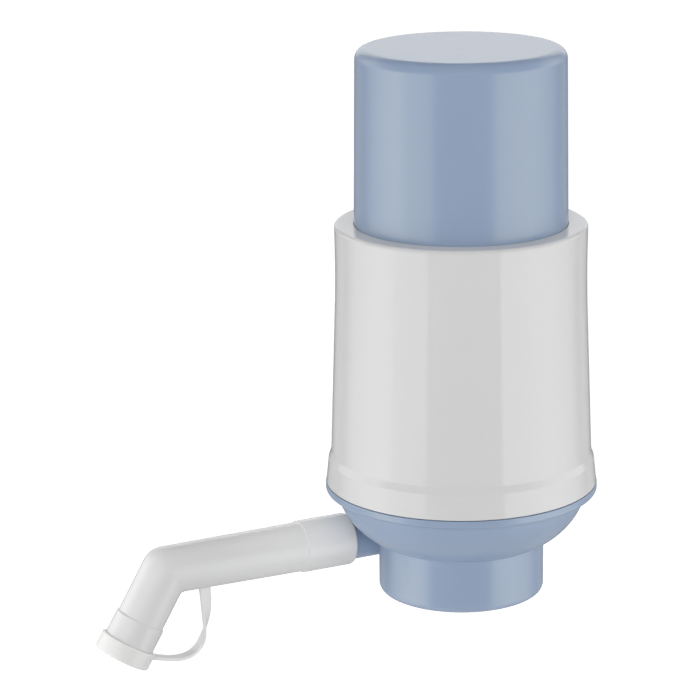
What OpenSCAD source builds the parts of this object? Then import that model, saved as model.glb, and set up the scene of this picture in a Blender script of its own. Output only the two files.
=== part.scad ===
// Hand pump for a water jug: a sprung press cap in a housing, on a base that
// sits on the bottle's neck, with an angled spout and a strapped spout cap.
// The origin is the centre of the collar's mouth, +Z is up, and the spout
// points along -X. All sizes are in millimetres.

/* [Bottle collar] */
// Outer diameter of the bottle neck that the pump sits on
neck_d = 55; // [53:0.5:57]
// Radial gap between the bottle neck and the plain mouth of the collar
neck_play = 0.3; // [0.2:0.05:0.5]
// Wall of the collar
collar_wall = 3.8; // [3.4:0.1:4.6]
// Height of the collar, from its mouth to the foot of the bowl
collar_h = 20.65; // [19.5:0.05:23]
// Rounding of the collar's outer bottom edge
collar_edge = 2.4; // [0.8:0.1:3]
// Height of the plain mouth, below the recess of the neck seal
mouth_h = 8; // [6:0.5:10]

/* [Bowl and flange] */
// Radius of the arc that the bowl's wall follows
bowl_arc_r = 28.6; // [26:0.2:34]
// Height of the bowl, from the collar to the flange
bowl_h = 19.85; // [18:0.05:23]
// Wall of the bowl
bowl_wall = 2.4; // [2:0.1:3]
// Thickness of the bowl's floor, under which the bottle's rim seats
floor_t = 2.65; // [2.4:0.05:3.2]
// Thickness of the flange
flange_t = 2.9; // [2.4:0.1:4]
// Depth of the notch between the flange's edge and the bowl
flange_notch = 3.7; // [2.5:0.1:4.5]
// Rounding of the flange's lower edge
flange_edge = 1.1; // [0.4:0.1:1.3]
// Height of the upstanding rim that the housing snaps over
rim_h = 6.6; // [6:0.1:8]
// Wall of the upstanding rim
rim_wall = 2.4; // [2:0.1:2.8]

/* [Housing] */
// Width of the flat ring round the press cap
ring_w = 6.95; // [6:0.05:9]
// Height of the housing, from its skirt's lower edge to the flat ring
housing_h = 100.4; // [92:0.1:115]
// How much wider the housing is above the skirt than at its waist
housing_taper = 2.3; // [1.4:0.1:3]
// Height of the waist below the flat ring
waist_drop = 13.2; // [10:0.1:18]
// How much the mouth flares out above the waist
mouth_flare = 0.22; // [0:0.02:0.6]
// Wall of the housing
housing_wall = 2.2; // [1.8:0.1:2.6]
// Rounding of the housing's top edge
housing_edge = 1.4; // [0.6:0.1:2]
// Height of the skirt
skirt_h = 9.4; // [8.8:0.1:12]
// Step out from the housing to the top of the skirt
skirt_step = 1.05; // [0.5:0.05:1.6]
// Height of the sloped step above the skirt
skirt_slope_h = 2.8; // [1.5:0.1:4]
// How much the skirt flares out towards its lower edge
skirt_flare = 0.95; // [0.5:0.05:1.4]
// Shadow gap between the skirt and the flange
skirt_gap = 0.4; // [0.2:0.05:0.8]
// Length of the collar inside the mouth that guides the press cap
guide_h = 10; // [6:0.5:14]

/* [Press cap] */
// Radius of the press cap below its rounded top edge
cap_r = 39.25; // [37:0.05:42]
// How much wider the press cap is at its foot
cap_draft = 1.0; // [0.4:0.05:1.4]
// Height of the press cap above the housing when it is pressed right down
cap_low_h = 16.1; // [12:0.1:22]
// How far the press cap goes down
stroke = 50; // [44:1:56]
// Rounding of the press cap's top edge
cap_edge = 4.2; // [2.5:0.1:5]
// Wall of the press cap
cap_wall = 2.2; // [1.8:0.1:2.6]
// Thickness of the press cap's top
cap_top_t = 2.6; // [2:0.1:3.2]
// Radial gap between the press cap's foot and the guide
cap_gap = 0.28; // [0.2:0.02:0.4]
// Height of the stop lip at the press cap's foot
lip_h = 3.2; // [2.4:0.1:4]

/* [Bellows and spring] */
// Gap between the bellows and the inside of the press cap
bellows_gap = 2.55; // [2.2:0.05:3.5]
// Depth of one fold of the bellows
fold_depth = 5.4; // [4.5:0.1:6]
// Number of folds
folds = 12; // [8:1:16]
// Wall of the rubber
rubber_t = 1.2; // [1:0.1:1.5]
// Thickness of the bellows' clamped foot
foot_t = 1.8; // [1.4:0.1:2.4]
// Mean radius of the spring's coils
spring_r = 20.5; // [20.2:0.1:21]
// Diameter of the spring's wire
wire_d = 1.8; // [1.4:0.1:2.1]
// Number of turns of the spring
spring_turns = 9; // [7:1:12]
// Thickness of the plate at the top of the bellows
top_plate_t = 3; // [2.6:0.1:3.6]
// Height of the bosses between that plate and the press cap
top_boss_h = 4.7; // [4.3:0.1:6]

/* [Valves and plate] */
// Thickness of the valve plate
plate_t = 3; // [2.6:0.1:3.6]
// Thickness of the gasket under the valve plate
gasket_t = 1.2; // [0.8:0.1:1.6]
// How far the valve plate's ledge lies below the flange's top
ledge_drop = 3.2; // [2.8:0.1:3.6]
// Radius of a valve's rubber head
valve_r = 9; // [8.4:0.1:11]
// Thickness of a valve's rubber head
valve_t = 1.3; // [1:0.1:1.8]
// Radius of a valve's stem
valve_stem_r = 1.45; // [1.2:0.05:1.8]
// How far a valve lifts off its seat
valve_lift = 1; // [0.6:0.1:1.4]
// Radius of an air port
port_r = 1.6; // [1.2:0.1:1.8]
// Number of air ports round a valve's stem
ports = 6; // [4:1:7]

/* [Outlet and intake] */
// Sideways offset of the outlet's axis from the pump's axis
outlet_y = 20.3; // [19.6:0.1:21]
// Height of the outlet's axis above the bowl's foot
outlet_rise = -0.95; // [-1.3:0.05:-0.6]
// Outer radius of the outlet stub
stub_r = 8.35; // [8:0.05:8.8]
// Bore radius of the outlet stub
stub_bore_r = 5.4; // [4.6:0.1:5.6]
// Thickness of the sealing ring in the stub's groove
o_ring_d = 1.56; // [1.4:0.02:1.7]
// Outer radius of the nipple that the intake tube pushes on
nipple_r = 5.5; // [5:0.1:5.8]
// Wall of the nipple
nipple_wall = 1.5; // [1.2:0.1:1.8]
// Length of the nipple below the floor
nipple_h = 9.6; // [8:0.1:9.9]

/* [Spout] */
// Distance from the pump's axis to the spout's mouth
spout_start = 38.9; // [38.6:0.1:43]
// Length of the thick collar at the spout's mouth
socket_l = 20.9; // [18:0.1:26]
// Radius of that collar
socket_r = 10; // [9.8:0.05:10.6]
// Rounding of the collar's mouth
socket_edge = 1.5; // [1.3:0.1:1.5]
// Depth of the socket that turns on the stub
socket_depth = 18.5; // [14:0.1:20]
// Radial running gap between the stub and the socket
socket_play = 0.07; // [0.04:0.01:0.1]
// Radius of the tube next to the collar
tube_r = 9.48; // [9:0.02:9.7]
// Radius of the tube at the elbow and down the leg
leg_r = 9.1; // [8.6:0.02:9.3]
// Wall of the tube
tube_wall = 1.9; // [1.5:0.1:2.2]
// Distance from the pump's axis to the elbow
elbow_x = 115.1; // [105:0.1:130]
// Angle that the leg bends down
elbow_a = 59; // [45:1:70]
// Length of the leg, from the elbow to its thicker end
leg_l = 21; // [18:0.1:30]
// Radius of the leg's thicker end
end_r = 9.65; // [9.35:0.05:10]
// Length of the leg's thicker end
end_l = 9; // [6:0.1:12]
// Radius of the tip inside the spout cap
tip_r = 8.6; // [8:0.05:8.8]
// Length of the tip inside the spout cap
tip_l = 5.2; // [4:0.1:7]

/* [Spout cap and strap] */
// Outer radius of the spout cap
spout_cap_r = 10.85; // [10.3:0.05:11.5]
// Radial gap between the tip and the spout cap
tip_play = 0.08; // [0.04:0.01:0.1]
// Thickness of the spout cap's end
spout_cap_t = 1.35; // [1:0.05:2]
// Rounding of the spout cap's lower edge
spout_cap_edge = 1.1; // [0.5:0.1:1.3]
// Gap between the spout cap's rim and the leg
rim_gap = 0.3; // [0.2:0.05:0.5]
// Distance from the pump's axis to the strap's root
strap_x = 99.3; // [94:0.1:104]
// Width of the strap
strap_w = 4.6; // [3.5:0.1:5.5]
// Thickness of the strap
strap_t = 1.2; // [0.9:0.1:1.6]
// How strongly the strap hangs down from its root
strap_drop = 26; // [20:1:32]
// How strongly the strap bows out from the spout cap
strap_bow = 20; // [14:1:24]

/* [Hidden] */
$fn = 96;

blue = [0.56, 0.63, 0.73];
white = [0.87, 0.87, 0.88];
grey_rubber = [0.34, 0.35, 0.37];
milky = [0.80, 0.82, 0.83];
steel = [0.72, 0.73, 0.74];
soft_white = [0.88, 0.88, 0.87];

// Overlap that keeps joined shapes and cuts from ending on the same face
eps = 0.05;
// Gap between parts that are fixed together
fit_gap = 0.05;
// Points along a rounded edge
edge_steps = 8;

// Press cap and the bore that guides it
cap_foot_r = cap_r + cap_draft;
guide_r = cap_foot_r + cap_gap;
guide_wall = 1.8;
cap_in_r = cap_r - cap_wall;
lip_r = guide_r + guide_wall + 1.5;

// Radii of the housing, outwards from the guide
waist_r = guide_r + ring_w - mouth_flare;
housing_top_r = guide_r + ring_w;
housing_foot_r = waist_r + housing_taper;
skirt_top_r = housing_foot_r + skirt_step;
skirt_foot_r = skirt_top_r + skirt_flare;

// Radii of the base, inwards from the skirt
flange_r = skirt_foot_r + 0.25;
bowl_r = flange_r - flange_notch;
rim_r = housing_foot_r - 1.1;
rim_in_r = rim_r - rim_wall;
snap_out = 0.6;
snap_depth = 0.9;
snap_h = 1.4;
snap_span = 24;
snaps = 4;

// Heights of the base
bowl_z = collar_h + bowl_h;
flange_z = bowl_z + flange_t;
rim_z = flange_z + rim_h;
ledge_z = flange_z - ledge_drop;
ledge_t = 2.4;
ledge_gusset = 3.4;
plate_z = ledge_z + gasket_t;
plate_top = plate_z + plate_t;

// Heights of the housing and the press cap
skirt_z = flange_z + skirt_gap;
skirt_top_z = skirt_z + skirt_h;
ring_z = skirt_z + housing_h;
waist_z = ring_z - waist_drop;
ring_t = 2.4;
guide_z = ring_z - ring_t - guide_h;
cap_top_z = ring_z + cap_low_h + stroke;
lip_gap = 0.2;
lip_z = guide_z - lip_gap;

// Arc of the bowl: its centre lies on the inner side of the chord
collar_r = neck_d / 2 + neck_play + collar_wall;
chord = [bowl_r - collar_r, bowl_h];
chord_l = norm(chord);
arc_rise = sqrt(bowl_arc_r * bowl_arc_r - chord_l * chord_l / 4);
arc_c = [
    (bowl_r + collar_r) / 2 - arc_rise * chord[1] / chord_l,
    (bowl_z + collar_h) / 2 + arc_rise * chord[0] / chord_l
];
arc_in_r = bowl_arc_r - bowl_wall;
floor_top = arc_c[1] - arc_in_r;
floor_z = floor_top - floor_t;

// Collar's bore, seal and intake nipple
mouth_r = neck_d / 2 + neck_play;
seal_recess = 1.8;
recess_r = mouth_r + seal_recess;
bottle_mouth_r = neck_d / 2 - 7;
seal_lip_t = 1.6;
tube_space = 2;
nipple_y = bottle_mouth_r - nipple_r - tube_space;
nipple_bore_r = nipple_r - nipple_wall;
nipple_edge = 0.6;

// Outlet duct and stub
outlet_z = collar_h + outlet_rise;
socket_bore_r = stub_r + socket_play;
stub_end = spout_start + socket_depth - 0.5;
duct_end = nipple_r;
duct_bore_end = nipple_bore_r;
duct_floor = 1.6;
riser_roof = 1.5;
riser_bore_top = outlet_z + stub_bore_r - 1;
passage_w = 6;
round_bore_x = sqrt(pow(recess_r + 1.4, 2) - pow(outlet_y - stub_bore_r, 2));
ring_play = 0.02;
o_ring_r = socket_bore_r - ring_play - o_ring_d / 2;
groove_r = o_ring_r - o_ring_d / 2 - ring_play;
groove_w = o_ring_d + 0.5;
groove_x = spout_start + 7;

// Bellows and what clamps it
bellows_r = cap_in_r - bellows_gap;
bellows_in_r = bellows_r - fold_depth - rubber_t;
foot_flange_r = bellows_r + 0.5;
cuff_r = bellows_in_r + rubber_t;
cuff_h = 3.8;
clamp_h = 2;
foot_head_r = 1.9;
foot_screw_r = foot_flange_r + foot_head_r + 0.3;
foot_ring_r = foot_screw_r + foot_head_r + 0.6;
foot_ring_z = plate_top + foot_t + clamp_h;
plate_head_r = 2.5;
plate_screw_r = foot_ring_r + plate_head_r + 0.4;
plate_r = rim_in_r - 0.2;
gasket_r = plate_r;
ledge_in_r = foot_ring_r + 0.1;
ceiling_z = cap_top_z - cap_top_t;
top_plate_top = ceiling_z - top_boss_h;
top_plate_z = top_plate_top - top_plate_t;
top_plate_r = bellows_r - 4.1;
top_cuff_r = top_plate_r + 0.15 + rubber_t + 0.2;
top_cuff_z = top_plate_z - 6;
top_ring_t = 1.6;
top_ring_h = 4;
fold_z = plate_top + foot_t + cuff_h;
fold_pitch = (top_cuff_z - fold_z) / folds;

// Locating rings of the spring
locator_h = 4;
locator_wall = 1.6;
locator_r = spring_r - wire_d / 2 - 1;

// Cross recess of a screw, as shares of its head's radius and height
recess_l = 1.1;
recess_w = 0.28;
recess_floor = 0.4;

// Screws: shaft radius, length under the head and head height
screw_play = 0.05;
plate_shaft_r = 1.45;
plate_screw_l = 9.6;
plate_head_h = 2;
plate_screws_n = 4;
plate_boss_r = 2.8;
foot_shaft_r = 1.2;
foot_screw_l = 8;
foot_head_h = 1.6;
foot_screws_n = 6;
foot_boss_r = 2.2;
foot_boss_h = 3.4;
top_shaft_r = 1.45;
top_screw_l = top_plate_t + top_boss_h - 0.5;
top_head_r = 2.6;
top_head_h = 2;
top_screws_n = 3;
top_boss_r = 3.2;
top_screw_r = spring_r + wire_d / 2 + top_head_r + 0.5;

// Valves
valve_hole_r = valve_stem_r + 0.1;
valve_bulb_r = valve_stem_r + 0.85;
valve_bulb_h = 2;
valve_seat_gap = 0.05;
port_ring_r = valve_r - port_r - 2.2;
vent_r = 2.2;
vent_ring_r = bottle_mouth_r - vent_r - 5.3;
vents = [-160, -110, -70, -20];

// Spout: distances along the leg from the elbow
end_z = leg_l + end_l;
tip_z = end_z + tip_l;
spout_cap_z = end_z + rim_gap;
spout_cap_end = tip_z + 0.3 + spout_cap_t;
bore_r = tube_r - tube_wall;
leg_bore_r = leg_r - tube_wall;
tip_bore_r = tip_r - 1.5;
step_edge = 0.35;

// Strap: a curve in the spout's upright plane, as [distance, height]
peg_r = 1.5;
strap_gap = 0.3;
strap_seat = 0.04;
strap_root_r = tube_r + (leg_r - tube_r) * (strap_x - spout_start - socket_l)
    / (elbow_x - spout_start - socket_l);
strap_a = [strap_x, outlet_z - strap_root_r - strap_seat];
leg_dir = [cos(elbow_a), -sin(elbow_a)];
leg_side = [-sin(elbow_a), -cos(elbow_a)];
strap_b = [elbow_x, outlet_z] + leg_dir * (spout_cap_z + strap_t)
    + leg_side * (spout_cap_r + strap_gap);
strap_end_a = 21;
strap_p1 = strap_a + [0, -strap_drop];
strap_p2 = strap_b + strap_bow * [-cos(strap_end_a), -sin(strap_end_a)];
strap_twist_end = 0.42;
strap_steps = 24;

function arc(c, r, a0, a1, n = edge_steps) =
    [for (i = [0 : n]) let (a = a0 + (a1 - a0) * i / n) c + r * [cos(a), sin(a)]];

function polar_of(p, c) = atan2(p[1] - c[1], p[0] - c[0]);

function arc_r_at(r, z) = arc_c[0] + sqrt(r * r - pow(z - arc_c[1], 2));

// Point and tangent of the strap's curve at t from 0 to 1
function strap_at(t) = pow(1 - t, 3) * strap_a + 3 * t * pow(1 - t, 2) * strap_p1
    + 3 * t * t * (1 - t) * strap_p2 + t * t * t * strap_b;

function strap_dir(t) =
    let (d = 3 * pow(1 - t, 2) * (strap_p1 - strap_a)
            + 6 * t * (1 - t) * (strap_p2 - strap_p1)
            + 3 * t * t * (strap_b - strap_p2))
    d / norm(d);

function ease(u) = u <= 0 ? 0 : u >= 1 ? 1 : u * u * (3 - 2 * u);

// Outline of the strap's section, across its width and its thickness
strap_section =
    let (w = strap_w / 2, t = strap_t / 2, w_in = w - strap_t * 0.12, t_in = strap_t * 0.3)
    [[w_in, -t], [w, -t_in], [w, t_in], [w_in, t],
     [-w_in, t], [-w, t_in], [-w, -t_in], [-w_in, -t]];

// One ring of the strap at t, its width turning from the tube's way to across
function strap_ring(t) =
    let (p = strap_at(t),
         d = strap_dir(t),
         a = 90 * ease(t / strap_twist_end),
         across = [cos(a) * -d[1], sin(a), cos(a) * -d[0]],
         out = [-sin(a) * -d[1], cos(a), -sin(a) * -d[0]])
    [for (s = strap_section)
        [-p[0], outlet_y, p[1]] + s[0] * across + s[1] * out];

function spring_h(n) =
    let (end = wire_d * 1.3,
         free = (top_plate_z - plate_top - wire_d - 2 * end - 2 * fit_gap)
            / (spring_turns - 2))
    plate_top + fit_gap + wire_d / 2 + min(n, 1) * end
        + max(0, min(n - 1, spring_turns - 2)) * free
        + max(0, n - spring_turns + 1) * end;

module tube_along(rings) {
    n = len(rings[0]);
    m = len(rings);
    polyhedron(
        points = [for (r = rings, p = r) p],
        faces = concat(
            [for (j = [1 : n - 2]) [0, j + 1, j]],
            [for (j = [1 : n - 2]) [(m - 1) * n, (m - 1) * n + j, (m - 1) * n + j + 1]],
            [for (i = [0 : m - 2], j = [0 : n - 1]) [i * n + j, i * n + (j + 1) % n,
                (i + 1) * n + j]],
            [for (i = [0 : m - 2], j = [0 : n - 1]) [i * n + (j + 1) % n,
                (i + 1) * n + (j + 1) % n, (i + 1) * n + j]]
        )
    );
}

module round_about(n, r, start = 0) {
    for (i = [0 : n - 1])
        rotate([0, 0, start + i * 360 / n])
            translate([r, 0, 0])
                children();
}

module ring(r_in, r_out, h) {
    rotate_extrude()
        translate([r_in, 0])
            square([r_out - r_in, h]);
}

// A pan-head screw with its head's underside at z = 0 and its shaft below
module screw(shaft_r, shaft_l, head_r, head_h) {
    slot_l = head_r * recess_l;
    slot_w = head_r * recess_w;
    edge = head_h / 2;
    difference() {
        union() {
            translate([0, 0, -shaft_l])
                cylinder(r = shaft_r, h = shaft_l + eps);
            rotate_extrude()
                polygon(concat(
                    [[0, 0], [head_r, 0]],
                    arc([head_r - edge, head_h - edge], edge, 0, 90),
                    [[0, head_h]]
                ));
        }
        for (a = [0, 90])
            rotate([0, 0, a])
                translate([-slot_l / 2, -slot_w / 2, head_h * recess_floor])
                    cube([slot_l, slot_w, head_h]);
    }
}

// Along the outlet's axis, with z = 0 at the pump's axis and +z towards the spout
module on_outlet() {
    translate([0, outlet_y, outlet_z])
        rotate([0, -90, 0])
            children();
}

// Along the leg, with z = 0 at the elbow and +z towards the tip
module on_leg() {
    translate([-elbow_x, outlet_y, outlet_z])
        rotate([0, -90 - elbow_a, 0])
            children();
}

// The shell of the base: collar, bowl, flange, rim and inner ledge in one outline
module base_shell() {
    bowl_a0 = polar_of([collar_r, collar_h], arc_c);
    bowl_a1 = polar_of([bowl_r, bowl_z], arc_c);
    gusset_z = ledge_z - ledge_t - ledge_gusset;
    inner_a = polar_of([arc_r_at(arc_in_r, gusset_z), gusset_z], arc_c);
    rotate_extrude()
        polygon(concat(
            [[mouth_r, 0]],
            arc([collar_r - collar_edge, collar_edge], collar_edge, -90, 0),
            arc(arc_c, bowl_arc_r, bowl_a0, bowl_a1, 20),
            arc([flange_r - flange_edge, bowl_z + flange_edge], flange_edge, -90, 0),
            [[flange_r, flange_z], [rim_r, flange_z], [rim_r, rim_z],
             [rim_in_r, rim_z], [rim_in_r, ledge_z], [ledge_in_r, ledge_z],
             [ledge_in_r, ledge_z - ledge_t]],
            arc(arc_c, arc_in_r, inner_a, -90, 20),
            [[0, floor_top], [0, floor_z], [recess_r, floor_z],
             [recess_r, mouth_h], [mouth_r, mouth_h]]
        ));
}

module snap_lugs() {
    translate([0, 0, flange_z + 2.9])
        for (i = [0 : snaps - 1])
            rotate([0, 0, 45 + i * 360 / snaps - snap_span / 2])
                rotate_extrude(angle = snap_span)
                    polygon([[rim_r - 1, 0], [rim_r + snap_out - 0.2, 0],
                        [rim_r + snap_out, snap_h * 0.4], [rim_r - 1, snap_h]]);
}

module base_body() {
    color(blue)
        difference() {
            union() {
                base_shell();
                snap_lugs();
                round_about(plate_screws_n, plate_screw_r, 45)
                    translate([0, 0, plate_top - plate_screw_l - 1])
                        cylinder(r = plate_boss_r, h = ledge_z - ledge_t / 2
                            - plate_top + plate_screw_l + 1);
                // Stub outside the collar's bore, and the duct above the floor
                difference() {
                    on_outlet()
                        translate([0, 0, -duct_end])
                            cylinder(r = stub_r, h = stub_end + duct_end);
                    translate([0, 0, -eps])
                        cylinder(r = recess_r, h = floor_z + eps);
                }
                // Nipple below the floor, and the riser above it that feeds the duct
                translate([0, nipple_y, floor_z - nipple_h])
                    rotate_extrude()
                        polygon([[0, 0], [nipple_r - nipple_edge, 0],
                            [nipple_r, nipple_edge], [nipple_r, nipple_h + eps],
                            [0, nipple_h + eps]]);
                translate([0, nipple_y, floor_z])
                    cylinder(r = nipple_r, h = riser_bore_top + riser_roof - floor_z);
                translate([-passage_w / 2 - riser_roof, nipple_y, floor_z])
                    cube([passage_w + 2 * riser_roof, outlet_y - nipple_y,
                        riser_bore_top + riser_roof - floor_z]);
            }
            // Round bore of the stub, then the duct's bore with its flat floor
            on_outlet()
                translate([0, 0, round_bore_x])
                    cylinder(r = stub_bore_r, h = stub_end);
            intersection() {
                on_outlet()
                    translate([0, 0, -duct_bore_end])
                        cylinder(r = stub_bore_r, h = round_bore_x + duct_bore_end + eps);
                translate([-round_bore_x - 1, 0, floor_z + duct_floor])
                    cube([2 * round_bore_x, outlet_y + 2 * stub_r, 3 * stub_r]);
            }
            translate([-passage_w / 2, nipple_y, floor_z + duct_floor])
                cube([passage_w, outlet_y - nipple_y,
                    riser_bore_top - floor_z - duct_floor]);
            translate([0, nipple_y, floor_z - nipple_h - eps])
                cylinder(r = nipple_bore_r, h = riser_bore_top - floor_z + nipple_h + eps);
            // Groove for the sealing ring
            on_outlet()
                translate([0, 0, groove_x - groove_w / 2])
                    ring(groove_r, stub_r + 1, groove_w);
            for (a = vents)
                rotate([0, 0, a])
                    translate([vent_ring_r, 0, floor_z - eps])
                        cylinder(r = vent_r, h = floor_t + 2 * eps);
            round_about(plate_screws_n, plate_screw_r, 45)
                translate([0, 0, plate_top - plate_screw_l - 0.2])
                    cylinder(r = plate_shaft_r + screw_play, h = plate_screw_l);
        }
}

module outer_housing() {
    wall_in = housing_wall;
    shoulder_z = rim_z;
    socket_in_r = rim_r + 0.2;
    groove_z = flange_z + 2.6;
    ring_in_r = housing_top_r - wall_in;
    waist_in_r = waist_r - wall_in;
    foot_in_r = housing_foot_r - wall_in;
    color(white)
        rotate_extrude()
            polygon(concat(
                [[socket_in_r, skirt_z], [skirt_foot_r, skirt_z],
                 [skirt_top_r, skirt_top_z],
                 [housing_foot_r, skirt_top_z + skirt_slope_h],
                 [waist_r + 0.1, waist_z - waist_drop],
                 [waist_r, waist_z]],
                arc([housing_top_r - housing_edge, ring_z - housing_edge],
                    housing_edge, 0, 90),
                [[guide_r, ring_z], [guide_r, guide_z],
                 [guide_r + guide_wall, guide_z],
                 [guide_r + guide_wall, ring_z - ring_t],
                 [ring_in_r, ring_z - ring_t], [waist_in_r, waist_z],
                 [waist_in_r + 0.1, waist_z - waist_drop],
                 [foot_in_r, skirt_top_z + skirt_slope_h],
                 [foot_in_r, shoulder_z], [socket_in_r, shoulder_z],
                 [socket_in_r, groove_z + 2.4],
                 [rim_r + snap_depth, groove_z + 2.2],
                 [rim_r + snap_depth, groove_z], [socket_in_r, groove_z]]
            ));
}

module press_cap() {
    foot_z = lip_z - lip_h;
    color(blue) {
        rotate_extrude()
            polygon(concat(
                [[0, cap_top_z]],
                arc([cap_r - cap_edge, cap_top_z - cap_edge], cap_edge, 90, 0),
                [[cap_foot_r, lip_z], [lip_r, lip_z], [lip_r, foot_z],
                 [cap_foot_r - cap_wall, foot_z],
                 [cap_in_r, cap_top_z - cap_edge]],
                arc([cap_in_r - 2, ceiling_z - 2], 2, 0, 90),
                [[0, ceiling_z]]
            ));
        round_about(top_screws_n, top_screw_r, 90)
            translate([0, 0, top_plate_top])
                difference() {
                    cylinder(r = top_boss_r, h = top_boss_h + eps);
                    translate([0, 0, -eps])
                        cylinder(r = top_shaft_r + screw_play, h = top_boss_h - 0.2);
                }
    }
}

// Holes for a valve's stem and the air ports round it, through a plate at z = 0
module valve_holes(t) {
    translate([0, 0, -eps]) {
        cylinder(r = valve_hole_r, h = t + 2 * eps);
        round_about(ports, port_ring_r)
            cylinder(r = port_r, h = t + 2 * eps);
    }
}

// A rubber valve under a plate of thickness t, whose underside is at z = 0
module rubber_valve(t) {
    stem_top = t + valve_lift + 0.2;
    color(grey_rubber)
        rotate_extrude()
            polygon(concat(
                [[0, -valve_seat_gap - valve_t - 0.5],
                 [valve_stem_r + 1, -valve_seat_gap - valve_t],
                 [valve_r - 0.6, -valve_seat_gap - valve_t * 0.6],
                 [valve_r, -valve_seat_gap - valve_t * 0.3],
                 [valve_r, -valve_seat_gap], [valve_stem_r, -valve_seat_gap],
                 [valve_stem_r, stem_top], [valve_bulb_r, stem_top],
                 [valve_bulb_r, stem_top + valve_bulb_h * 0.3],
                 [valve_stem_r * 0.6, stem_top + valve_bulb_h],
                 [0, stem_top + valve_bulb_h]]
            ));
}

module valve_plate() {
    color(milky)
        difference() {
            union() {
                translate([0, 0, plate_z])
                    cylinder(r = plate_r, h = plate_t);
                translate([0, 0, plate_top - eps])
                    ring(locator_r - locator_wall, locator_r, locator_h + eps);
                round_about(foot_screws_n, foot_screw_r)
                    translate([0, 0, plate_z - foot_boss_h])
                        cylinder(r = foot_boss_r, h = foot_boss_h + eps);
            }
            translate([0, 0, plate_z])
                valve_holes(plate_t);
            round_about(foot_screws_n, foot_screw_r)
                translate([0, 0, foot_ring_z - foot_screw_l - 0.2])
                    cylinder(r = foot_shaft_r + screw_play, h = foot_screw_l);
            round_about(plate_screws_n, plate_screw_r, 45)
                translate([0, 0, plate_z - eps])
                    cylinder(r = plate_shaft_r + 0.2, h = plate_t + 2 * eps);
        }
}

module plate_gasket() {
    color(grey_rubber)
        difference() {
            translate([0, 0, ledge_z])
                ring(ledge_in_r + 0.1, gasket_r, gasket_t);
            round_about(plate_screws_n, plate_screw_r, 45)
                translate([0, 0, ledge_z - eps])
                    cylinder(r = plate_shaft_r + 0.2, h = gasket_t + 2 * eps);
        }
}

module plate_screws() {
    color(steel)
        round_about(plate_screws_n, plate_screw_r, 45)
            translate([0, 0, plate_top])
                screw(plate_shaft_r, plate_screw_l, plate_head_r, plate_head_h);
}

// Folded rubber: a clamped foot, a cuff, the folds and a cuff over the top plate
module bellows() {
    top_in_r = top_plate_r + 0.15;
    folds_out = [for (i = [0 : folds - 1], q = [0.5, 1])
        [q == 0.5 ? bellows_r : cuff_r, fold_z + (i + q) * fold_pitch]];
    folds_in = [for (i = [folds - 1 : -1 : 0], q = [0.5, 0])
        [(q == 0.5 ? bellows_r : cuff_r) - rubber_t, fold_z + (i + q) * fold_pitch]];
    color(grey_rubber)
        rotate_extrude()
            polygon(concat(
                [[bellows_in_r - 1.6, plate_top], [foot_flange_r, plate_top],
                 [foot_flange_r, plate_top + foot_t],
                 [cuff_r, plate_top + foot_t], [cuff_r, fold_z]],
                folds_out,
                [[top_in_r + rubber_t, top_cuff_z + 2.4],
                 [top_in_r + rubber_t, top_plate_top],
                 [top_in_r, top_plate_top], [top_in_r, top_cuff_z + 2.6],
                 [cuff_r - rubber_t, top_cuff_z]],
                folds_in,
                [[bellows_in_r, plate_top + foot_t],
                 [bellows_in_r - 1.6, plate_top + foot_t]]
            ));
}

module bellows_foot_ring() {
    color(milky)
        difference() {
            rotate_extrude()
                polygon([[foot_flange_r + 0.15, plate_top],
                    [foot_ring_r, plate_top], [foot_ring_r, foot_ring_z],
                    [cuff_r + 0.4, foot_ring_z],
                    [cuff_r + 0.4, plate_top + foot_t],
                    [foot_flange_r + 0.15, plate_top + foot_t]]);
            round_about(foot_screws_n, foot_screw_r)
                translate([0, 0, plate_top - eps])
                    cylinder(r = foot_shaft_r + 0.2, h = foot_t + clamp_h + 2 * eps);
        }
}

module foot_ring_screws() {
    color(steel)
        round_about(foot_screws_n, foot_screw_r)
            translate([0, 0, foot_ring_z])
                screw(foot_shaft_r, foot_screw_l, foot_head_r, foot_head_h);
}

module return_spring() {
    per_turn = 20;
    sides = 8;
    rings = [for (i = [0 : spring_turns * per_turn])
        let (n = i / per_turn, a = 360 * n)
        [for (j = [0 : sides - 1])
            let (b = 360 * j / sides, r = spring_r + wire_d / 2 * cos(b))
            [r * cos(a), r * sin(a), spring_h(n) + wire_d / 2 * sin(b)]]];
    color(steel)
        tube_along(rings);
}

module outlet_valve() {
    translate([0, 0, plate_z])
        rubber_valve(plate_t);
}

module bellows_top_plate() {
    color(milky)
        difference() {
            union() {
                translate([0, 0, top_plate_z])
                    cylinder(r = top_plate_r, h = top_plate_t);
                translate([0, 0, top_plate_z - locator_h])
                    ring(locator_r - locator_wall, locator_r, locator_h + eps);
            }
            translate([0, 0, top_plate_z])
                valve_holes(top_plate_t);
            round_about(top_screws_n, top_screw_r, 90)
                translate([0, 0, top_plate_z - eps])
                    cylinder(r = top_shaft_r + 0.2, h = top_plate_t + 2 * eps);
        }
}

module bellows_top_ring() {
    color(white)
        translate([0, 0, top_plate_z - 0.8])
            ring(top_cuff_r, top_cuff_r + top_ring_t, top_ring_h);
}

module top_plate_screws() {
    color(steel)
        round_about(top_screws_n, top_screw_r, 90)
            translate([0, 0, top_plate_z])
                mirror([0, 0, 1])
                    screw(top_shaft_r, top_screw_l, top_head_r, top_head_h);
}

module inlet_valve() {
    translate([0, 0, top_plate_z])
        rubber_valve(top_plate_t);
}

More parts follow.
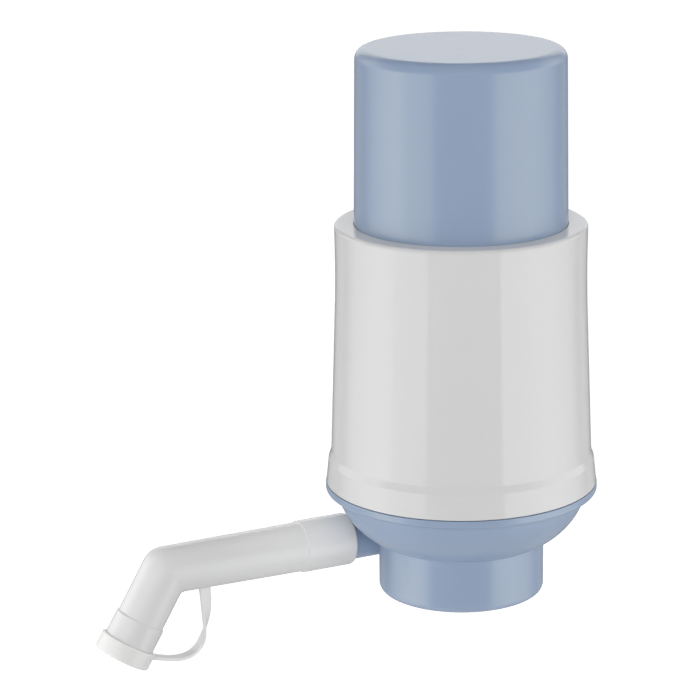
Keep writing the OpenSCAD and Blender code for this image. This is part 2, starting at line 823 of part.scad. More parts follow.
// Rubber sleeve that grips the neck, with a lip under the floor for its rim
module neck_seal() {
    foot_z = mouth_h + 0.2;
    color(grey_rubber)
        rotate_extrude()
            polygon([[neck_d / 2 + 0.2, foot_z], [recess_r - fit_gap, foot_z],
                [recess_r - fit_gap, floor_z], [bottle_mouth_r, floor_z],
                [bottle_mouth_r, floor_z - seal_lip_t],
                [neck_d / 2 - 0.4, floor_z - seal_lip_t],
                [neck_d / 2, floor_z - seal_lip_t - 1], [neck_d / 2, foot_z + 1]]);
}

// Straight run of the spout: socket collar and tapered tube up to the elbow
module spout_run() {
    socket_end = spout_start + socket_l;
    rotate_extrude()
        polygon(concat(
            [[0, spout_start]],
            arc([socket_r - socket_edge, spout_start + socket_edge],
                socket_edge, -90, 0),
            [[socket_r, socket_end - step_edge], [socket_r - step_edge, socket_end],
             [tube_r, socket_end], [leg_r, elbow_x], [0, elbow_x]]
        ));
}

module spout_leg() {
    rotate_extrude()
        polygon([[0, 0], [leg_r, 0], [leg_r, leg_l], [end_r - step_edge, leg_l],
            [end_r, leg_l + step_edge], [end_r, end_z - step_edge],
            [end_r - step_edge, end_z], [tip_r, end_z], [tip_r, tip_z - step_edge],
            [tip_r - step_edge, tip_z], [0, tip_z]]);
}

module spout_tube() {
    socket_end = spout_start + socket_depth;
    color(white)
        difference() {
            union() {
                on_outlet()
                    spout_run();
                translate([-elbow_x, outlet_y, outlet_z])
                    sphere(r = leg_r);
                on_leg()
                    spout_leg();
            }
            on_outlet() {
                translate([0, 0, spout_start - eps])
                    cylinder(r = socket_bore_r, h = socket_depth + eps);
                translate([0, 0, socket_end - eps])
                    cylinder(r1 = bore_r, r2 = leg_bore_r, h = elbow_x - socket_end + eps);
            }
            translate([-elbow_x, outlet_y, outlet_z])
                sphere(r = leg_bore_r);
            on_leg() {
                cylinder(r = leg_bore_r, h = end_z);
                cylinder(r = tip_bore_r, h = tip_z + eps);
            }
            translate([-strap_x, outlet_y, outlet_z - tube_r - 1])
                cylinder(r = peg_r + fit_gap, h = tube_wall + 2);
        }
}

module spout_o_ring() {
    color(grey_rubber)
        on_outlet()
            translate([0, 0, groove_x])
                rotate_extrude()
                    translate([o_ring_r, 0])
                        circle(r = o_ring_d / 2, $fn = 32);
}

module spout_cap() {
    in_r = tip_r + tip_play;
    color(soft_white)
        on_leg()
            rotate_extrude()
                polygon(concat(
                    [[in_r, spout_cap_z], [spout_cap_r - 0.5, spout_cap_z],
                     [spout_cap_r, spout_cap_z + 0.5]],
                    arc([spout_cap_r - spout_cap_edge, spout_cap_end - spout_cap_edge],
                        spout_cap_edge, 0, 90),
                    [[0, spout_cap_end], [0, spout_cap_end - spout_cap_t],
                     [in_r, spout_cap_end - spout_cap_t]]
                ));
}

// Flat strap from a peg in the tube's underside to the spout cap's rim
module cap_strap() {
    color(soft_white) {
        tube_along([for (i = [0 : strap_steps]) strap_ring(i / strap_steps)]);
        translate([-strap_x, outlet_y, strap_a[1] - 0.6])
            cylinder(r = peg_r, h = tube_wall + 0.4);
    }
}

base_body();
outer_housing();
press_cap();
valve_plate();
plate_gasket();
plate_screws();
bellows();
bellows_foot_ring();
foot_ring_screws();
return_spring();
outlet_valve();
bellows_top_plate();
bellows_top_ring();
top_plate_screws();
inlet_valve();
neck_seal();
spout_tube();
spout_o_ring();
spout_cap();
cap_strap();
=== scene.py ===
# %% [markdown]
# A water jug hand pump. It is pushed over the neck of a 19 litre jug. The blue
# press cap works a rubber bellows inside the white housing, the air goes down
# into the jug, and the water comes up and out of the angled spout.
#
# The measured construction model is loaded first and stays where it is. Each
# surface made below takes the place of one of its pieces, at the same size and
# in the same place, so the boxes of the measured pieces give most of the sizes.

# %% Load the measured pump
from math import ceil, cos, pi, radians, sin, tan

import bmesh
import bpy
import numpy as np
from mathutils import Matrix, Vector


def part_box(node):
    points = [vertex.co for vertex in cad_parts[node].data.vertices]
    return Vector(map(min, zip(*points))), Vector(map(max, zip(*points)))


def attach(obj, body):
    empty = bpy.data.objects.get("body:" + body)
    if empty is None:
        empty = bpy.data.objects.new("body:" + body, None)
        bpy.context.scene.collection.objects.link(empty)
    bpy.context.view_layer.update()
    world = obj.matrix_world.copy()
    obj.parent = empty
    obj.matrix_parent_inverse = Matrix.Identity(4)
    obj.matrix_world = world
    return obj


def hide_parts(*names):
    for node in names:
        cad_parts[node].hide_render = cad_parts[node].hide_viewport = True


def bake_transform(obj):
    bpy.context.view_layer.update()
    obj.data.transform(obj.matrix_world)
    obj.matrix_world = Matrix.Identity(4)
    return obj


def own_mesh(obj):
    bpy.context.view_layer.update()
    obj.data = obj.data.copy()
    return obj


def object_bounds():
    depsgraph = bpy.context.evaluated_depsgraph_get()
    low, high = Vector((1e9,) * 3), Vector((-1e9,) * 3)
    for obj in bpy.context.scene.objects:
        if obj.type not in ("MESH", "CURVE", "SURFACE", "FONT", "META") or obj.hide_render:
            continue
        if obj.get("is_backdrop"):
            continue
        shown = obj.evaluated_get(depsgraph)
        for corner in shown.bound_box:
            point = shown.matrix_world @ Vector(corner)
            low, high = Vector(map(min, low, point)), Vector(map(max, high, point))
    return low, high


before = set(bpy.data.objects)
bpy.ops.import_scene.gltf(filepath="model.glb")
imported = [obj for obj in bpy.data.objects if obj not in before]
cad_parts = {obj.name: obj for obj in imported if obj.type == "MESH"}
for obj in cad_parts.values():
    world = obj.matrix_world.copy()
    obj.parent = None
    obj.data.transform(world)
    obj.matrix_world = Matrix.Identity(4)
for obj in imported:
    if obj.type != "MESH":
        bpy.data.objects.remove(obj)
cad_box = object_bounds()
MM = 0.001
print("height in mm:", round((cad_box[1].z - cad_box[0].z) / MM, 1))

# %% [markdown]
# The camera comes next, because it says which sides matter most. The pump is
# seen from a little over a metre away and a little from above, with its
# upright axis to the right of the middle and the spout reaching to the left.
# A long lens keeps the upright sides nearly parallel. The camera is turned to
# put the pump in its place in the picture, and rolled by less than a degree,
# which keeps the pump's axis upright although it isn't in the middle.

# %% Camera
CAMERA_PLACE = Vector((-505.1, -913.1, 383.3)) * MM
CAMERA_TURN = -26.643
CAMERA_DOWN = 15.453
CAMERA_ROLL = -0.643
LENS = 147.05
PUMP_VIEW = -28.9

camera = bpy.data.objects.new("camera", bpy.data.cameras.new("camera"))
camera.data.lens = LENS
camera.data.clip_end = 60
camera.matrix_world = (
    Matrix.Translation(CAMERA_PLACE)
    @ Matrix.Rotation(radians(CAMERA_TURN), 4, "Z")
    @ Matrix.Rotation(radians(90 - CAMERA_DOWN), 4, "X")
    @ Matrix.Rotation(radians(CAMERA_ROLL), 4, "Z")
)
bpy.context.scene.collection.objects.link(camera)
bpy.context.scene.camera = camera
bpy.context.scene.view_settings.view_transform = "Standard"
print("camera distance in mm:", round(CAMERA_PLACE.length / MM))

# %% [markdown]
# Every finish below is built from shader nodes. One function adds a node, sets
# its options and links or fills its inputs. Colours are written as sRGB hex
# values, as a designer picks them, and one function turns them to the linear
# values that Blender works with.

# %% Node and colour helpers
def linear(code):
    """Linear colour, with alpha, of an sRGB hex value such as '#8fa0bb'."""
    parts = [int(code[i:i + 2], 16) / 255 for i in (1, 3, 5)]
    return [p / 12.92 if p <= 0.04045 else ((p + 0.055) / 1.055) ** 2.4 for p in parts] + [1]


def add(tree, kind, settings=None, inputs=None):
    """Adds a node, sets its options, and links or fills its inputs."""
    node = tree.nodes.new(kind)
    for key, value in (settings or {}).items():
        setattr(node, key, value)
    for key, value in (inputs or {}).items():
        if isinstance(value, bpy.types.NodeSocket):
            tree.links.new(value, node.inputs[key])
        else:
            node.inputs[key].default_value = value
    return node


def empty_tree(holder):
    """The node tree of a material or the world, with nothing in it."""
    holder.use_nodes = True
    holder.node_tree.nodes.clear()
    return holder.node_tree


print("mid blue is", [round(c, 3) for c in linear("#8fa0bb")[:3]])

# %% [markdown]
# A studio lights a glossy object with large soft lamps, because the plastic
# mirrors them. So the main lamps are flat panels that stand round the pump and
# face its axis. A place round the pump is given as an angle from the camera's
# side, a distance and a height. A panel may darken evenly towards one upright
# edge, and a snoot, a small lamp in a tube, lights one soft patch.

# %% Lamp helpers
SNOOT_WIDTH = 0.04


def around(view_angle, distance, height):
    """A place round the pump, at an angle from the camera's own side. Right is positive."""
    angle = radians(PUMP_VIEW - 90 + view_angle)
    return Vector((distance * cos(angle), distance * sin(angle), height))


def aimed(place, point):
    """Puts a lamp at a place with its back turned away from a point."""
    return Matrix.Translation(place) @ (place - point).to_track_quat("Z", "Y").to_matrix().to_4x4()


def facing_pump(place):
    """Puts an upright panel at a place with its back turned away from the pump's axis."""
    back = Vector((place.x, place.y, 0)).normalized()
    side = Vector((0, 0, 1)).cross(back)
    turn = Matrix((side, Vector((0, 0, 1)), back)).transposed().to_4x4()
    return Matrix.Translation(place) @ turn


def area_lamp(name, width, height, level, matrix):
    """A rectangular lamp whose face has the given brightness, unseen by the camera."""
    data = bpy.data.lights.new(name, "AREA")
    data.shape = "RECTANGLE"
    data.size, data.size_y = width, height
    data.energy = level * pi * width * height
    lamp = bpy.data.objects.new(name, data)
    lamp.matrix_world = matrix
    lamp.visible_camera = False
    bpy.context.scene.collection.objects.link(lamp)
    return lamp


def fade_away(lamp, share, side):
    """Darkens a share of a softbox evenly to nothing at its left (-1) or right (1) edge."""
    tree = empty_tree(lamp.data)
    place = add(tree, "ShaderNodeNewGeometry").outputs["Parametric"]
    across = add(tree, "ShaderNodeSeparateXYZ", inputs={0: place}).outputs["X"]
    edge = (side + 1) / 2
    level = add(tree, "ShaderNodeMapRange", inputs={
        "Value": across, "From Min": edge, "From Max": edge - side * share})
    glow = add(tree, "ShaderNodeEmission", inputs={"Strength": level.outputs[0]})
    add(tree, "ShaderNodeOutputLight", inputs={"Surface": glow.outputs[0]})


def snoot(name, place, aim, power, angle, colour="#ffffff"):
    """A small lamp in a tube, which lights a soft patch round a point in millimetres."""
    data = bpy.data.lights.new(name, "SPOT")
    data.energy = power
    data.color = linear(colour)[:3]
    data.spot_size = radians(angle)
    data.spot_blend = 1
    data.shadow_soft_size = SNOOT_WIDTH
    lamp = bpy.data.objects.new(name, data)
    lamp.matrix_world = aimed(place, Vector(aim) * MM)
    lamp.visible_glossy = False
    bpy.context.scene.collection.objects.link(lamp)
    return lamp


print("a metre to the camera's side is", [round(c, 2) for c in around(0, 1, 0)])

# %% [markdown]
# The room is a plain white studio. Softboxes stand left and right of the
# pump, and glossy plastic mirrors them as broad light bands. Between the bands
# the plastic shows the dark room behind the camera. The outer softboxes reach
# further down, so that the base and the spout's leg get their bands too: a
# wall seen from above mirrors what lies a little below it. They also darken
# towards their far edge, so the bands fade out near the outlines. Two low ones
# carry the bands on down the collar. A high lamp behind the camera and a wide
# scrim overhead light the surfaces that face up. The outlet stub lies in the
# base's shade, so a snoot lights it from below.

# %% Lamps
LAMP_DISTANCE = 0.70
SOFTBOXES = {
    # name: angle from the camera, angular width, level, bottom, top, share of the width that fades
    "softbox_left_inner": (-45.5, 33, 1.5, -0.12, 0.25, 0),
    "softbox_left_outer": (-92, 60, 2.25, -0.45, 0.25, 0.75),
    "softbox_left_low": (-54, 16, 1.9, -0.45, -0.12, 0),
    "softbox_right_inner": (50, 30, 1.76, -0.12, 0.25, 0),
    "softbox_right_outer": (95, 60, 1.85, -0.45, 0.25, 0.75),
    "softbox_right_low": (54, 22, 1.8, -0.45, -0.12, 0),
}
# A place is angle, distance and height, a size is width and height
FRONT_PLACE = (3, 1.5, 0.62)
FRONT_SIZE = (1.7, 0.55)
FRONT_LEVEL = 4.3
SCRIM_PLACE = (0, 0.25, 1.0)
SCRIM_SIZE = (0.9, 0.9)
SCRIM_LEVEL = 1.52
STUB_SNOOT_PLACE = (-30, 0.5, -0.42)
STUB_SNOOT_POWER = 7
STUB_SNOOT_ANGLE = 5.5
STUB_MIDDLE = (-36, 12, 19)

for name, (view_angle, arc_width, lamp_level, bottom, top, fading) in SOFTBOXES.items():
    width = 2 * LAMP_DISTANCE * tan(radians(arc_width / 2))
    softbox = area_lamp(name, width, top - bottom, lamp_level,
                        facing_pump(around(view_angle, LAMP_DISTANCE, (bottom + top) / 2)))
    # The two low ones are there only to be mirrored in the collar
    softbox.visible_diffuse = top > 0
    if fading:
        fade_away(softbox, fading, 1 if view_angle > 0 else -1)
front = area_lamp("lamp_behind_camera", *FRONT_SIZE, FRONT_LEVEL, facing_pump(around(*FRONT_PLACE)))
scrim = area_lamp("scrim_overhead", *SCRIM_SIZE, SCRIM_LEVEL, Matrix.Translation(around(*SCRIM_PLACE)))
stub_snoot = snoot("snoot_on_stub", around(*STUB_SNOOT_PLACE), STUB_MIDDLE, STUB_SNOOT_POWER,
                   STUB_SNOOT_ANGLE)
# The plastic mirrors only the softboxes
front.visible_glossy = False
scrim.visible_glossy = False
print("lamps:", ", ".join(SOFTBOXES), "and", front.name, scrim.name, stub_snoot.name)

# %% [markdown]
# Two grey cards stand behind the pump, left and right. They keep the white
# backdrop out of the reflections there, which gives the thin darker line just
# inside each upright outline. The backdrop is white only behind the pump. It
# lights the top of the cap from behind, and the room is dark elsewhere, so
# the rounding at the cap's edge stays dark. The floor lies below the picture,
# so that the pump stands free on white as in a catalogue, and it still takes
# the pump's shadow. A term that only the camera sees makes it white.

# %% Cards, floor and backdrop
CARD_DISTANCE = 0.62
CARD_MIDDLE = 0.1
CARD_SIZE = (0.25, 1.0)
CARD_LEVEL = 0.45
FLOOR_Z = -0.45
FLOOR_SIZE = 60
FLOOR_ALBEDO = 0.8
FLOOR_SHOWN = 0.9
FLOOR_MIRRORED = 0.04
BACKDROP_LEVEL = 1.57
# How far a direction points at the backdrop, and up, where the white begins and ends
BACKDROP_SIDE = (-0.3, 0.5)
BACKDROP_TOP = (0.45, 0.7)


def panel(name, width, height, matrix, material):
    """A flat rectangle that belongs to the studio."""
    w, h = width / 2, height / 2
    mesh = bpy.data.meshes.new(name)
    mesh.from_pydata([(-w, -h, 0), (w, -h, 0), (w, h, 0), (-w, h, 0)], [], [(0, 1, 2, 3)])
    mesh.materials.append(material)
    item = bpy.data.objects.new(name, mesh)
    item.matrix_world = matrix
    bpy.context.scene.collection.objects.link(item)
    item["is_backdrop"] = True
    return item


grey_card = bpy.data.materials.new("grey_card")
tree = empty_tree(grey_card)
grey = add(tree, "ShaderNodeEmission", inputs={"Strength": CARD_LEVEL})
add(tree, "ShaderNodeOutputMaterial", inputs={"Surface": grey.outputs[0]})

floor_paint = bpy.data.materials.new("white_floor")
tree = empty_tree(floor_paint)
matt = add(tree, "ShaderNodeBsdfDiffuse", inputs={"Color": [FLOOR_ALBEDO] * 3 + [1]})
rays = add(tree, "ShaderNodeLightPath").outputs
mirrored = add(tree, "ShaderNodeMath", {"operation": "MAXIMUM"},
               {0: rays["Is Glossy Ray"], 1: rays["Is Transmission Ray"]})
dim = add(tree, "ShaderNodeMath", {"operation": "MULTIPLY"},
          {0: mirrored.outputs[0], 1: FLOOR_MIRRORED})
bright = add(tree, "ShaderNodeMath", {"operation": "MULTIPLY"},
             {0: rays["Is Camera Ray"], 1: FLOOR_SHOWN})
brighter = add(tree, "ShaderNodeMath", {"operation": "MAXIMUM"},
               {0: dim.outputs[0], 1: bright.outputs[0]})
glow = add(tree, "ShaderNodeEmission", inputs={"Strength": brighter.outputs[0]})
both = add(tree, "ShaderNodeAddShader", inputs={0: matt.outputs[0], 1: glow.outputs[0]})
add(tree, "ShaderNodeOutputMaterial", inputs={"Surface": both.outputs[0]})

for name, view_angle in (("card_left", -142), ("card_right", 142)):
    card = panel(name, *CARD_SIZE, facing_pump(around(view_angle, CARD_DISTANCE, CARD_MIDDLE)),
                 grey_card)
    card.visible_camera = False
panel("floor", FLOOR_SIZE, FLOOR_SIZE, Matrix.Translation((0, 0, FLOOR_Z)), floor_paint)

world = bpy.data.worlds.new("white_backdrop")
bpy.context.scene.world = world
tree = empty_tree(world)
direction = add(tree, "ShaderNodeTexCoord").outputs["Generated"]
towards = add(tree, "ShaderNodeVectorMath", {"operation": "DOT_PRODUCT"},
              {0: direction, 1: around(180, 1, 0)})
behind = add(tree, "ShaderNodeMapRange", {"interpolation_type": "SMOOTHSTEP"}, {
    "Value": towards.outputs["Value"],
    "From Min": BACKDROP_SIDE[0], "From Max": BACKDROP_SIDE[1]})
height = add(tree, "ShaderNodeSeparateXYZ", inputs={0: direction}).outputs["Z"]
low = add(tree, "ShaderNodeMapRange", {"interpolation_type": "SMOOTHSTEP"}, {
    "Value": height, "From Min": BACKDROP_TOP[0], "From Max": BACKDROP_TOP[1],
    "To Min": BACKDROP_LEVEL, "To Max": 0})
wall = add(tree, "ShaderNodeMath", {"operation": "MULTIPLY"}, {0: behind.outputs[0], 1: low.outputs[0]})
seen = add(tree, "ShaderNodeLightPath").outputs["Is Camera Ray"]
white = add(tree, "ShaderNodeMath", {"operation": "MAXIMUM"}, {0: wall.outputs[0], 1: seen})
sky = add(tree, "ShaderNodeBackground", inputs={"Strength": white.outputs[0]})
add(tree, "ShaderNodeOutputWorld", inputs={"Surface": sky.outputs[0]})
print("floor in mm:", FLOOR_Z / MM)

# %% [markdown]
# Most of the pump is turned about its own axis, so most surfaces are lathed:
# an outline of radius and height is carried round the axis. On moulded
# plastic no edge is sharp, and the small rounding is what catches the light
# as a thin line. So an outline is written as its corners, each with the
# radius of its rounding, and one function puts an arc in place of each
# rounded corner.

# %% Rounded outlines
ARC_STEP = radians(11.25)


def arc(centre, radius, start, end, steps=None):
    """Points on an arc, from one angle in radians to another."""
    count = steps or max(3, ceil(abs(end - start) / ARC_STEP))
    turns = [start + (end - start) * i / count for i in range(count + 1)]
    return [(centre[0] + radius * cos(a), centre[1] + radius * sin(a)) for a in turns]


def rounded(corners):
    """The closed outline through corners (across, up, rounding), as points (across, up)."""
    points = []
    for i, (x, z, size) in enumerate(corners):
        here = np.array([x, z], float)
        if size == 0:
            points.append((x, z))
            continue
        before = np.array(corners[i - 1][:2], float) - here
        after = np.array(corners[(i + 1) % len(corners)][:2], float) - here
        before, after = before / np.linalg.norm(before), after / np.linalg.norm(after)
        half = np.arccos(np.clip(before @ after, -1, 1)) / 2
        middle = (before + after) / np.linalg.norm(before + after)
        centre = here + middle * size / sin(half)
        leave = here + before * size / tan(half) - centre
        meet = here + after * size / tan(half) - centre
        start = np.arctan2(leave[1], leave[0])
        sweep = (np.arctan2(meet[1], meet[0]) - start + pi) % (2 * pi) - pi
        points += arc(centre, size, start, start + sweep)
    return points


print("a rounded square has", len(rounded([(0, 0, 1), (9, 0, 1), (9, 9, 1), (0, 9, 1)])), "points")

# %% [markdown]
# A mesh is made from rings of points: each ring is joined to the next with
# four-sided faces. A lathed piece and a bent tube are then the same job. The
# faces are smooth shaded, with a sharp edge only where two meet at a steep
# angle, and the Weighted Normal modifier lets the large flat faces keep their
# own direction, so that the light doesn't smear across them from a rounding.

# %% Mesh from rings
LATHE_STEPS = 160
SHARP_ANGLE = radians(32)


def finish_mesh(name, vertices, faces, material, body, slot):
    """A smooth-shaded piece in millimetres that rides on a body and takes a material. Its slot is not
    used.
    """
    mesh = bpy.data.meshes.new(name)
    mesh.from_pydata([tuple(c * MM for c in v) for v in vertices], [], faces)
    piece = bpy.data.objects.new(name, mesh)
    bpy.context.scene.collection.objects.link(piece)
    mesh.materials.append(material)
    if body:
        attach(piece, body)
    return smooth(piece)


def smooth(piece):
    """Smooth shading that keeps steep edges and flat faces as they are."""
    piece.data.shade_smooth()
    piece.data.set_sharp_from_angle(angle=SHARP_ANGLE)
    if "flat faces" not in piece.modifiers:
        modifier = piece.modifiers.new("flat faces", "WEIGHTED_NORMAL")
        modifier.keep_sharp = True
    return piece


def skin(rings, closed):
    """Vertices and faces of the surface over rings of points. A ring of one point is a pole."""
    vertices, starts = [], []
    for ring in rings:
        starts.append(len(vertices))
        vertices += ring
    faces = []
    pairs = list(zip(range(len(rings)), range(1, len(rings))))
    if closed:
        pairs.append((len(rings) - 1, 0))
    for a, b in pairs:
        count = max(len(rings[a]), len(rings[b]))
        for j in range(count if count > 1 else 0):
            k = (j + 1) % count
            low = [starts[a]] if len(rings[a]) == 1 else [starts[a] + j, starts[a] + k]
            high = [starts[b]] if len(rings[b]) == 1 else [starts[b] + k, starts[b] + j]
            faces.append(low + high)
    return vertices, faces


def turned(outline, steps=LATHE_STEPS):
    """The closed shape of an outline of (radius, height) turned round Z.

    The outline goes anticlockwise, with the radius to the right. One that
    touches the axis starts and ends there.
    """
    turns = [2 * pi * i / steps for i in range(steps)]
    rings = [[(0, 0, z)] if r < 1e-6 else [(r * cos(a), r * sin(a), z) for a in turns]
             for r, z in outline]
    return skin(rings, closed=outline[0][0] > 1e-6)


print("lathe steps:", LATHE_STEPS)

# %% [markdown]
# Holes, bosses and the outlet stub aren't turned about the pump's axis. They
# are joined on or cut out with Blender's exact boolean, and the result is
# kept as a plain mesh. The exact solver is slower than the fast one, but it
# leaves a closed surface where faces meet at a glancing angle. A tool reaches
# a millimetre past each surface that it opens, because two faces that lie on
# each other give a solver trouble. Points less than a micrometre apart are
# welded afterwards.

# %% Joining and cutting
PAST = 1
WELD = 0.001


def moved(vertices, place):
    """Vertices moved by a matrix in millimetres."""
    return [tuple(place @ Vector(v)) for v in vertices]


def rod(radius, z0, z1, place=None, steps=48, chamfer=0):
    """A round bar along Z as vertices and faces, moved by a matrix in millimetres."""
    foot = [(radius - chamfer, z0), (radius, z0 + chamfer)] if chamfer else [(radius, z0)]
    vertices, faces = turned([(0, z0)] + foot + [(radius, z1), (0, z1)], steps)
    return moved(vertices, place or Matrix.Identity(4)), faces


def block(low, high):
    """A box between two corners, as vertices and faces."""
    spans = list(zip(low, high))
    vertices = [(spans[0][i], spans[1][j], spans[2][k]) for i in (0, 1) for j in (0, 1) for k in (0, 1)]
    faces = [(0, 1, 3, 2), (4, 6, 7, 5), (0, 4, 5, 1), (2, 3, 7, 6), (0, 2, 6, 4), (1, 5, 7, 3)]
    return vertices, faces


def shape(tool, operation, other):
    """Vertices and faces after one exact boolean of two closed shapes."""
    made = []
    for vertices, faces in (tool, other):
        mesh = bpy.data.meshes.new("tool")
        mesh.from_pydata(vertices, [], faces)
        item = bpy.data.objects.new("tool", mesh)
        bpy.context.scene.collection.objects.link(item)
        made.append(item)
    step = made[0].modifiers.new("step", "BOOLEAN")
    step.operation, step.solver, step.object = operation, "EXACT", made[1]
    view = bpy.context.evaluated_depsgraph_get()
    solid = bmesh.new()
    solid.from_mesh(made[0].evaluated_get(view).to_mesh())
    bmesh.ops.remove_doubles(solid, verts=solid.verts, dist=WELD)
    bmesh.ops.holes_fill(solid, edges=[e for e in solid.edges if e.is_boundary], sides=4)
    solid.verts.index_update()
    vertices = [tuple(v.co) for v in solid.verts]
    faces = [tuple(v.index for v in f.verts) for f in solid.faces]
    solid.free()
    for item in made:
        bpy.data.objects.remove(item)
    return vertices, faces


def several(shapes):
    """Separate closed shapes as one, where they don't touch."""
    vertices, faces = [], []
    for more, sides in shapes:
        faces += [tuple(i + len(vertices) for i in face) for face in sides]
        vertices += more
    return vertices, faces


cube = shape(block((0, 0, 0), (9, 9, 9)), "DIFFERENCE", rod(2, -1, 10, Matrix.Translation((4, 4, 0))))
print("a drilled cube has", len(cube[1]), "faces")

# %% [markdown]
# No moulded surface is quite even. Its colour drifts a little in soft patches,
# and its skin is very slightly rough or wavy. Noise makes both: each helper
# below takes the size of the patches or bumps, so that a finish can be written
# in the sizes that it has on the real piece.

# %% Uneven colour and relief
def mottled(tree, place, size, dark, light, detail, fineness=0.5):
    """A colour that drifts between two in patches of a size, and the patches themselves."""
    patches = add(tree, "ShaderNodeTexNoise", inputs={
        "Vector": place, "Scale": 1 / size, "Detail": detail, "Roughness": fineness})
    tint = add(tree, "ShaderNodeMix", {"data_type": "RGBA"}, {
        "Factor": patches.outputs["Fac"], 6: dark, 7: light})
    return tint.outputs[2], patches.outputs["Fac"]


def relief(tree, place, size, depth, detail, fineness=0.5):
    """The direction of a surface that has bumps of a width and a depth."""
    bumps = add(tree, "ShaderNodeTexNoise", inputs={
        "Vector": place, "Scale": 1 / size, "Detail": detail, "Roughness": fineness})
    tilted = add(tree, "ShaderNodeBump", inputs={
        "Height": bumps.outputs["Fac"], "Distance": depth, "Strength": 1})
    return tilted.outputs[0]


def shades(colour, darker, lighter):
    """The linear colour of a hex value, darkened and lightened by two factors."""
    return [[min(1, c * factor) for c in linear(colour)[:3]] + [1] for factor in (darker, lighter)]


print("one percent round mid grey:", [round(c[0], 4) for c in shades("#808080", 0.99, 1.01)])

# %% [markdown]
# The cap, the base, the housing and the spout are injection-moulded ABS. The
# steel of the mould is polished, so the plastic comes out glossy: it has an
# index of refraction of about 1.54 and a roughness below 0.3. What keeps it
# from looking like glass is that the melt shrinks as it cools. That leaves
# faint long waves, a few millimetres across and a few thousandths deep, which
# bend the reflections a little, and a slight unevenness in gloss and tone
# where the melt flowed. The waves are drawn about 9 mm long here, as fine as
# they still show from a metre away. The blue plastic's light bands are
# greyer than a neutral reflection on blue, so its glint is a little warm.

# %% Moulded ABS
FLOW_WIDTH = 60 * MM
SHRINK_WAVE = 9 * MM
SHRINK_DEPTH = 0.004 * MM
POLISH_PATCH = 7 * MM


def moulded_abs(name, colour, roughness, ior, tone=0.03, gloss=0.05, mirror=0.5, glint="#ffffff"):
    """Glossy moulded plastic with faint flow, shrinkage waves and uneven polish."""
    material = bpy.data.materials.new(name)
    tree = empty_tree(material)
    place = add(tree, "ShaderNodeTexCoord").outputs["Object"]
    flow = mottled(tree, place, FLOW_WIDTH, *shades(colour, 1 - tone, 1 + tone), 3)[0]
    polish = add(tree, "ShaderNodeTexNoise", inputs={
        "Vector": place, "Scale": 1 / POLISH_PATCH, "Detail": 4, "Roughness": 0.6})
    matt = add(tree, "ShaderNodeMapRange", inputs={
        "Value": polish.outputs["Fac"], "To Min": roughness - gloss, "To Max": roughness + gloss})
    plastic = add(tree, "ShaderNodeBsdfPrincipled", inputs={
        "Base Color": flow, "Roughness": matt.outputs[0], "IOR": ior,
        "Specular IOR Level": mirror, "Specular Tint": linear(glint),
        "Normal": relief(tree, place, SHRINK_WAVE, SHRINK_DEPTH, 1.5, 0.4)})
    add(tree, "ShaderNodeOutputMaterial", inputs={"Surface": plastic.outputs[0]})
    return material


blue_abs = moulded_abs("moulded_blue_abs", "#92a4bf", 0.24, 1.56, mirror=0.56, glint="#fff8d8")
white_abs = moulded_abs("moulded_white_abs", "#d6d6d6", 0.07, 1.54, tone=0.01, gloss=0.02, mirror=0.35)
spout_abs = moulded_abs("moulded_spout_abs", "#d5d5d5", 0.26, 1.50, tone=0.015, gloss=0.02)
print("moulded plastics:", blue_abs.name, white_abs.name, spout_abs.name)

# %% [markdown]
# The spout cap and its strap are soft low-density polyethylene. It is waxy:
# light goes a short way in and comes out again, so edges look lighter and
# shadows softer, and the mould's texture leaves it satin. Its index is about
# 1.51. The seals and valves are silicone, also cloudy but smoother, and the
# plates inside are natural polypropylene, milky and slightly blue.

# %% Cloudy plastics and silicone
def cloudy(name, colour, roughness, ior, depth, grain, cloud=0.35):
    """Satin plastic or silicone that light enters to a depth, with a fine moulded grain."""
    material = bpy.data.materials.new(name)
    tree = empty_tree(material)
    place = add(tree, "ShaderNodeTexCoord").outputs["Object"]
    mist = mottled(tree, place, 20 * grain, *shades(colour, 0.97, 1.02), 3)[0]
    plastic = add(tree, "ShaderNodeBsdfPrincipled", inputs={
        "Base Color": mist, "Roughness": roughness, "IOR": ior,
        "Subsurface Weight": cloud, "Subsurface Radius": (1, 1, 1), "Subsurface Scale": depth,
        "Normal": relief(tree, place, grain, grain * 0.02, 2)})
    add(tree, "ShaderNodeOutputMaterial", inputs={"Surface": plastic.outputs[0]})
    return material


soft_polyethylene = cloudy("satin_soft_polyethylene", "#e0e0df", 0.38, 1.51, 1.2 * MM, 0.5 * MM)
milky_polypropylene = cloudy("natural_polypropylene", "#d2d6d9", 0.32, 1.49, 2.5 * MM, 0.6 * MM, 0.5)
clear_silicone = cloudy("moulded_silicone", "#b9bfc4", 0.28, 1.41, 2 * MM, 0.5 * MM, 0.5)
print("cloudy plastics:", soft_polyethylene.name, milky_polypropylene.name, clear_silicone.name)

# %% [markdown]
# The bellows and the spout's sealing ring are dark grey EPDM rubber. Its
# mould is blasted, so it is matt with a fine grain of about a third of a
# millimetre, and a little dusty bloom lightens it in places.

# %% Rubber
RUBBER_GRAIN = 0.35 * MM
BLOOM_PATCH = 14 * MM

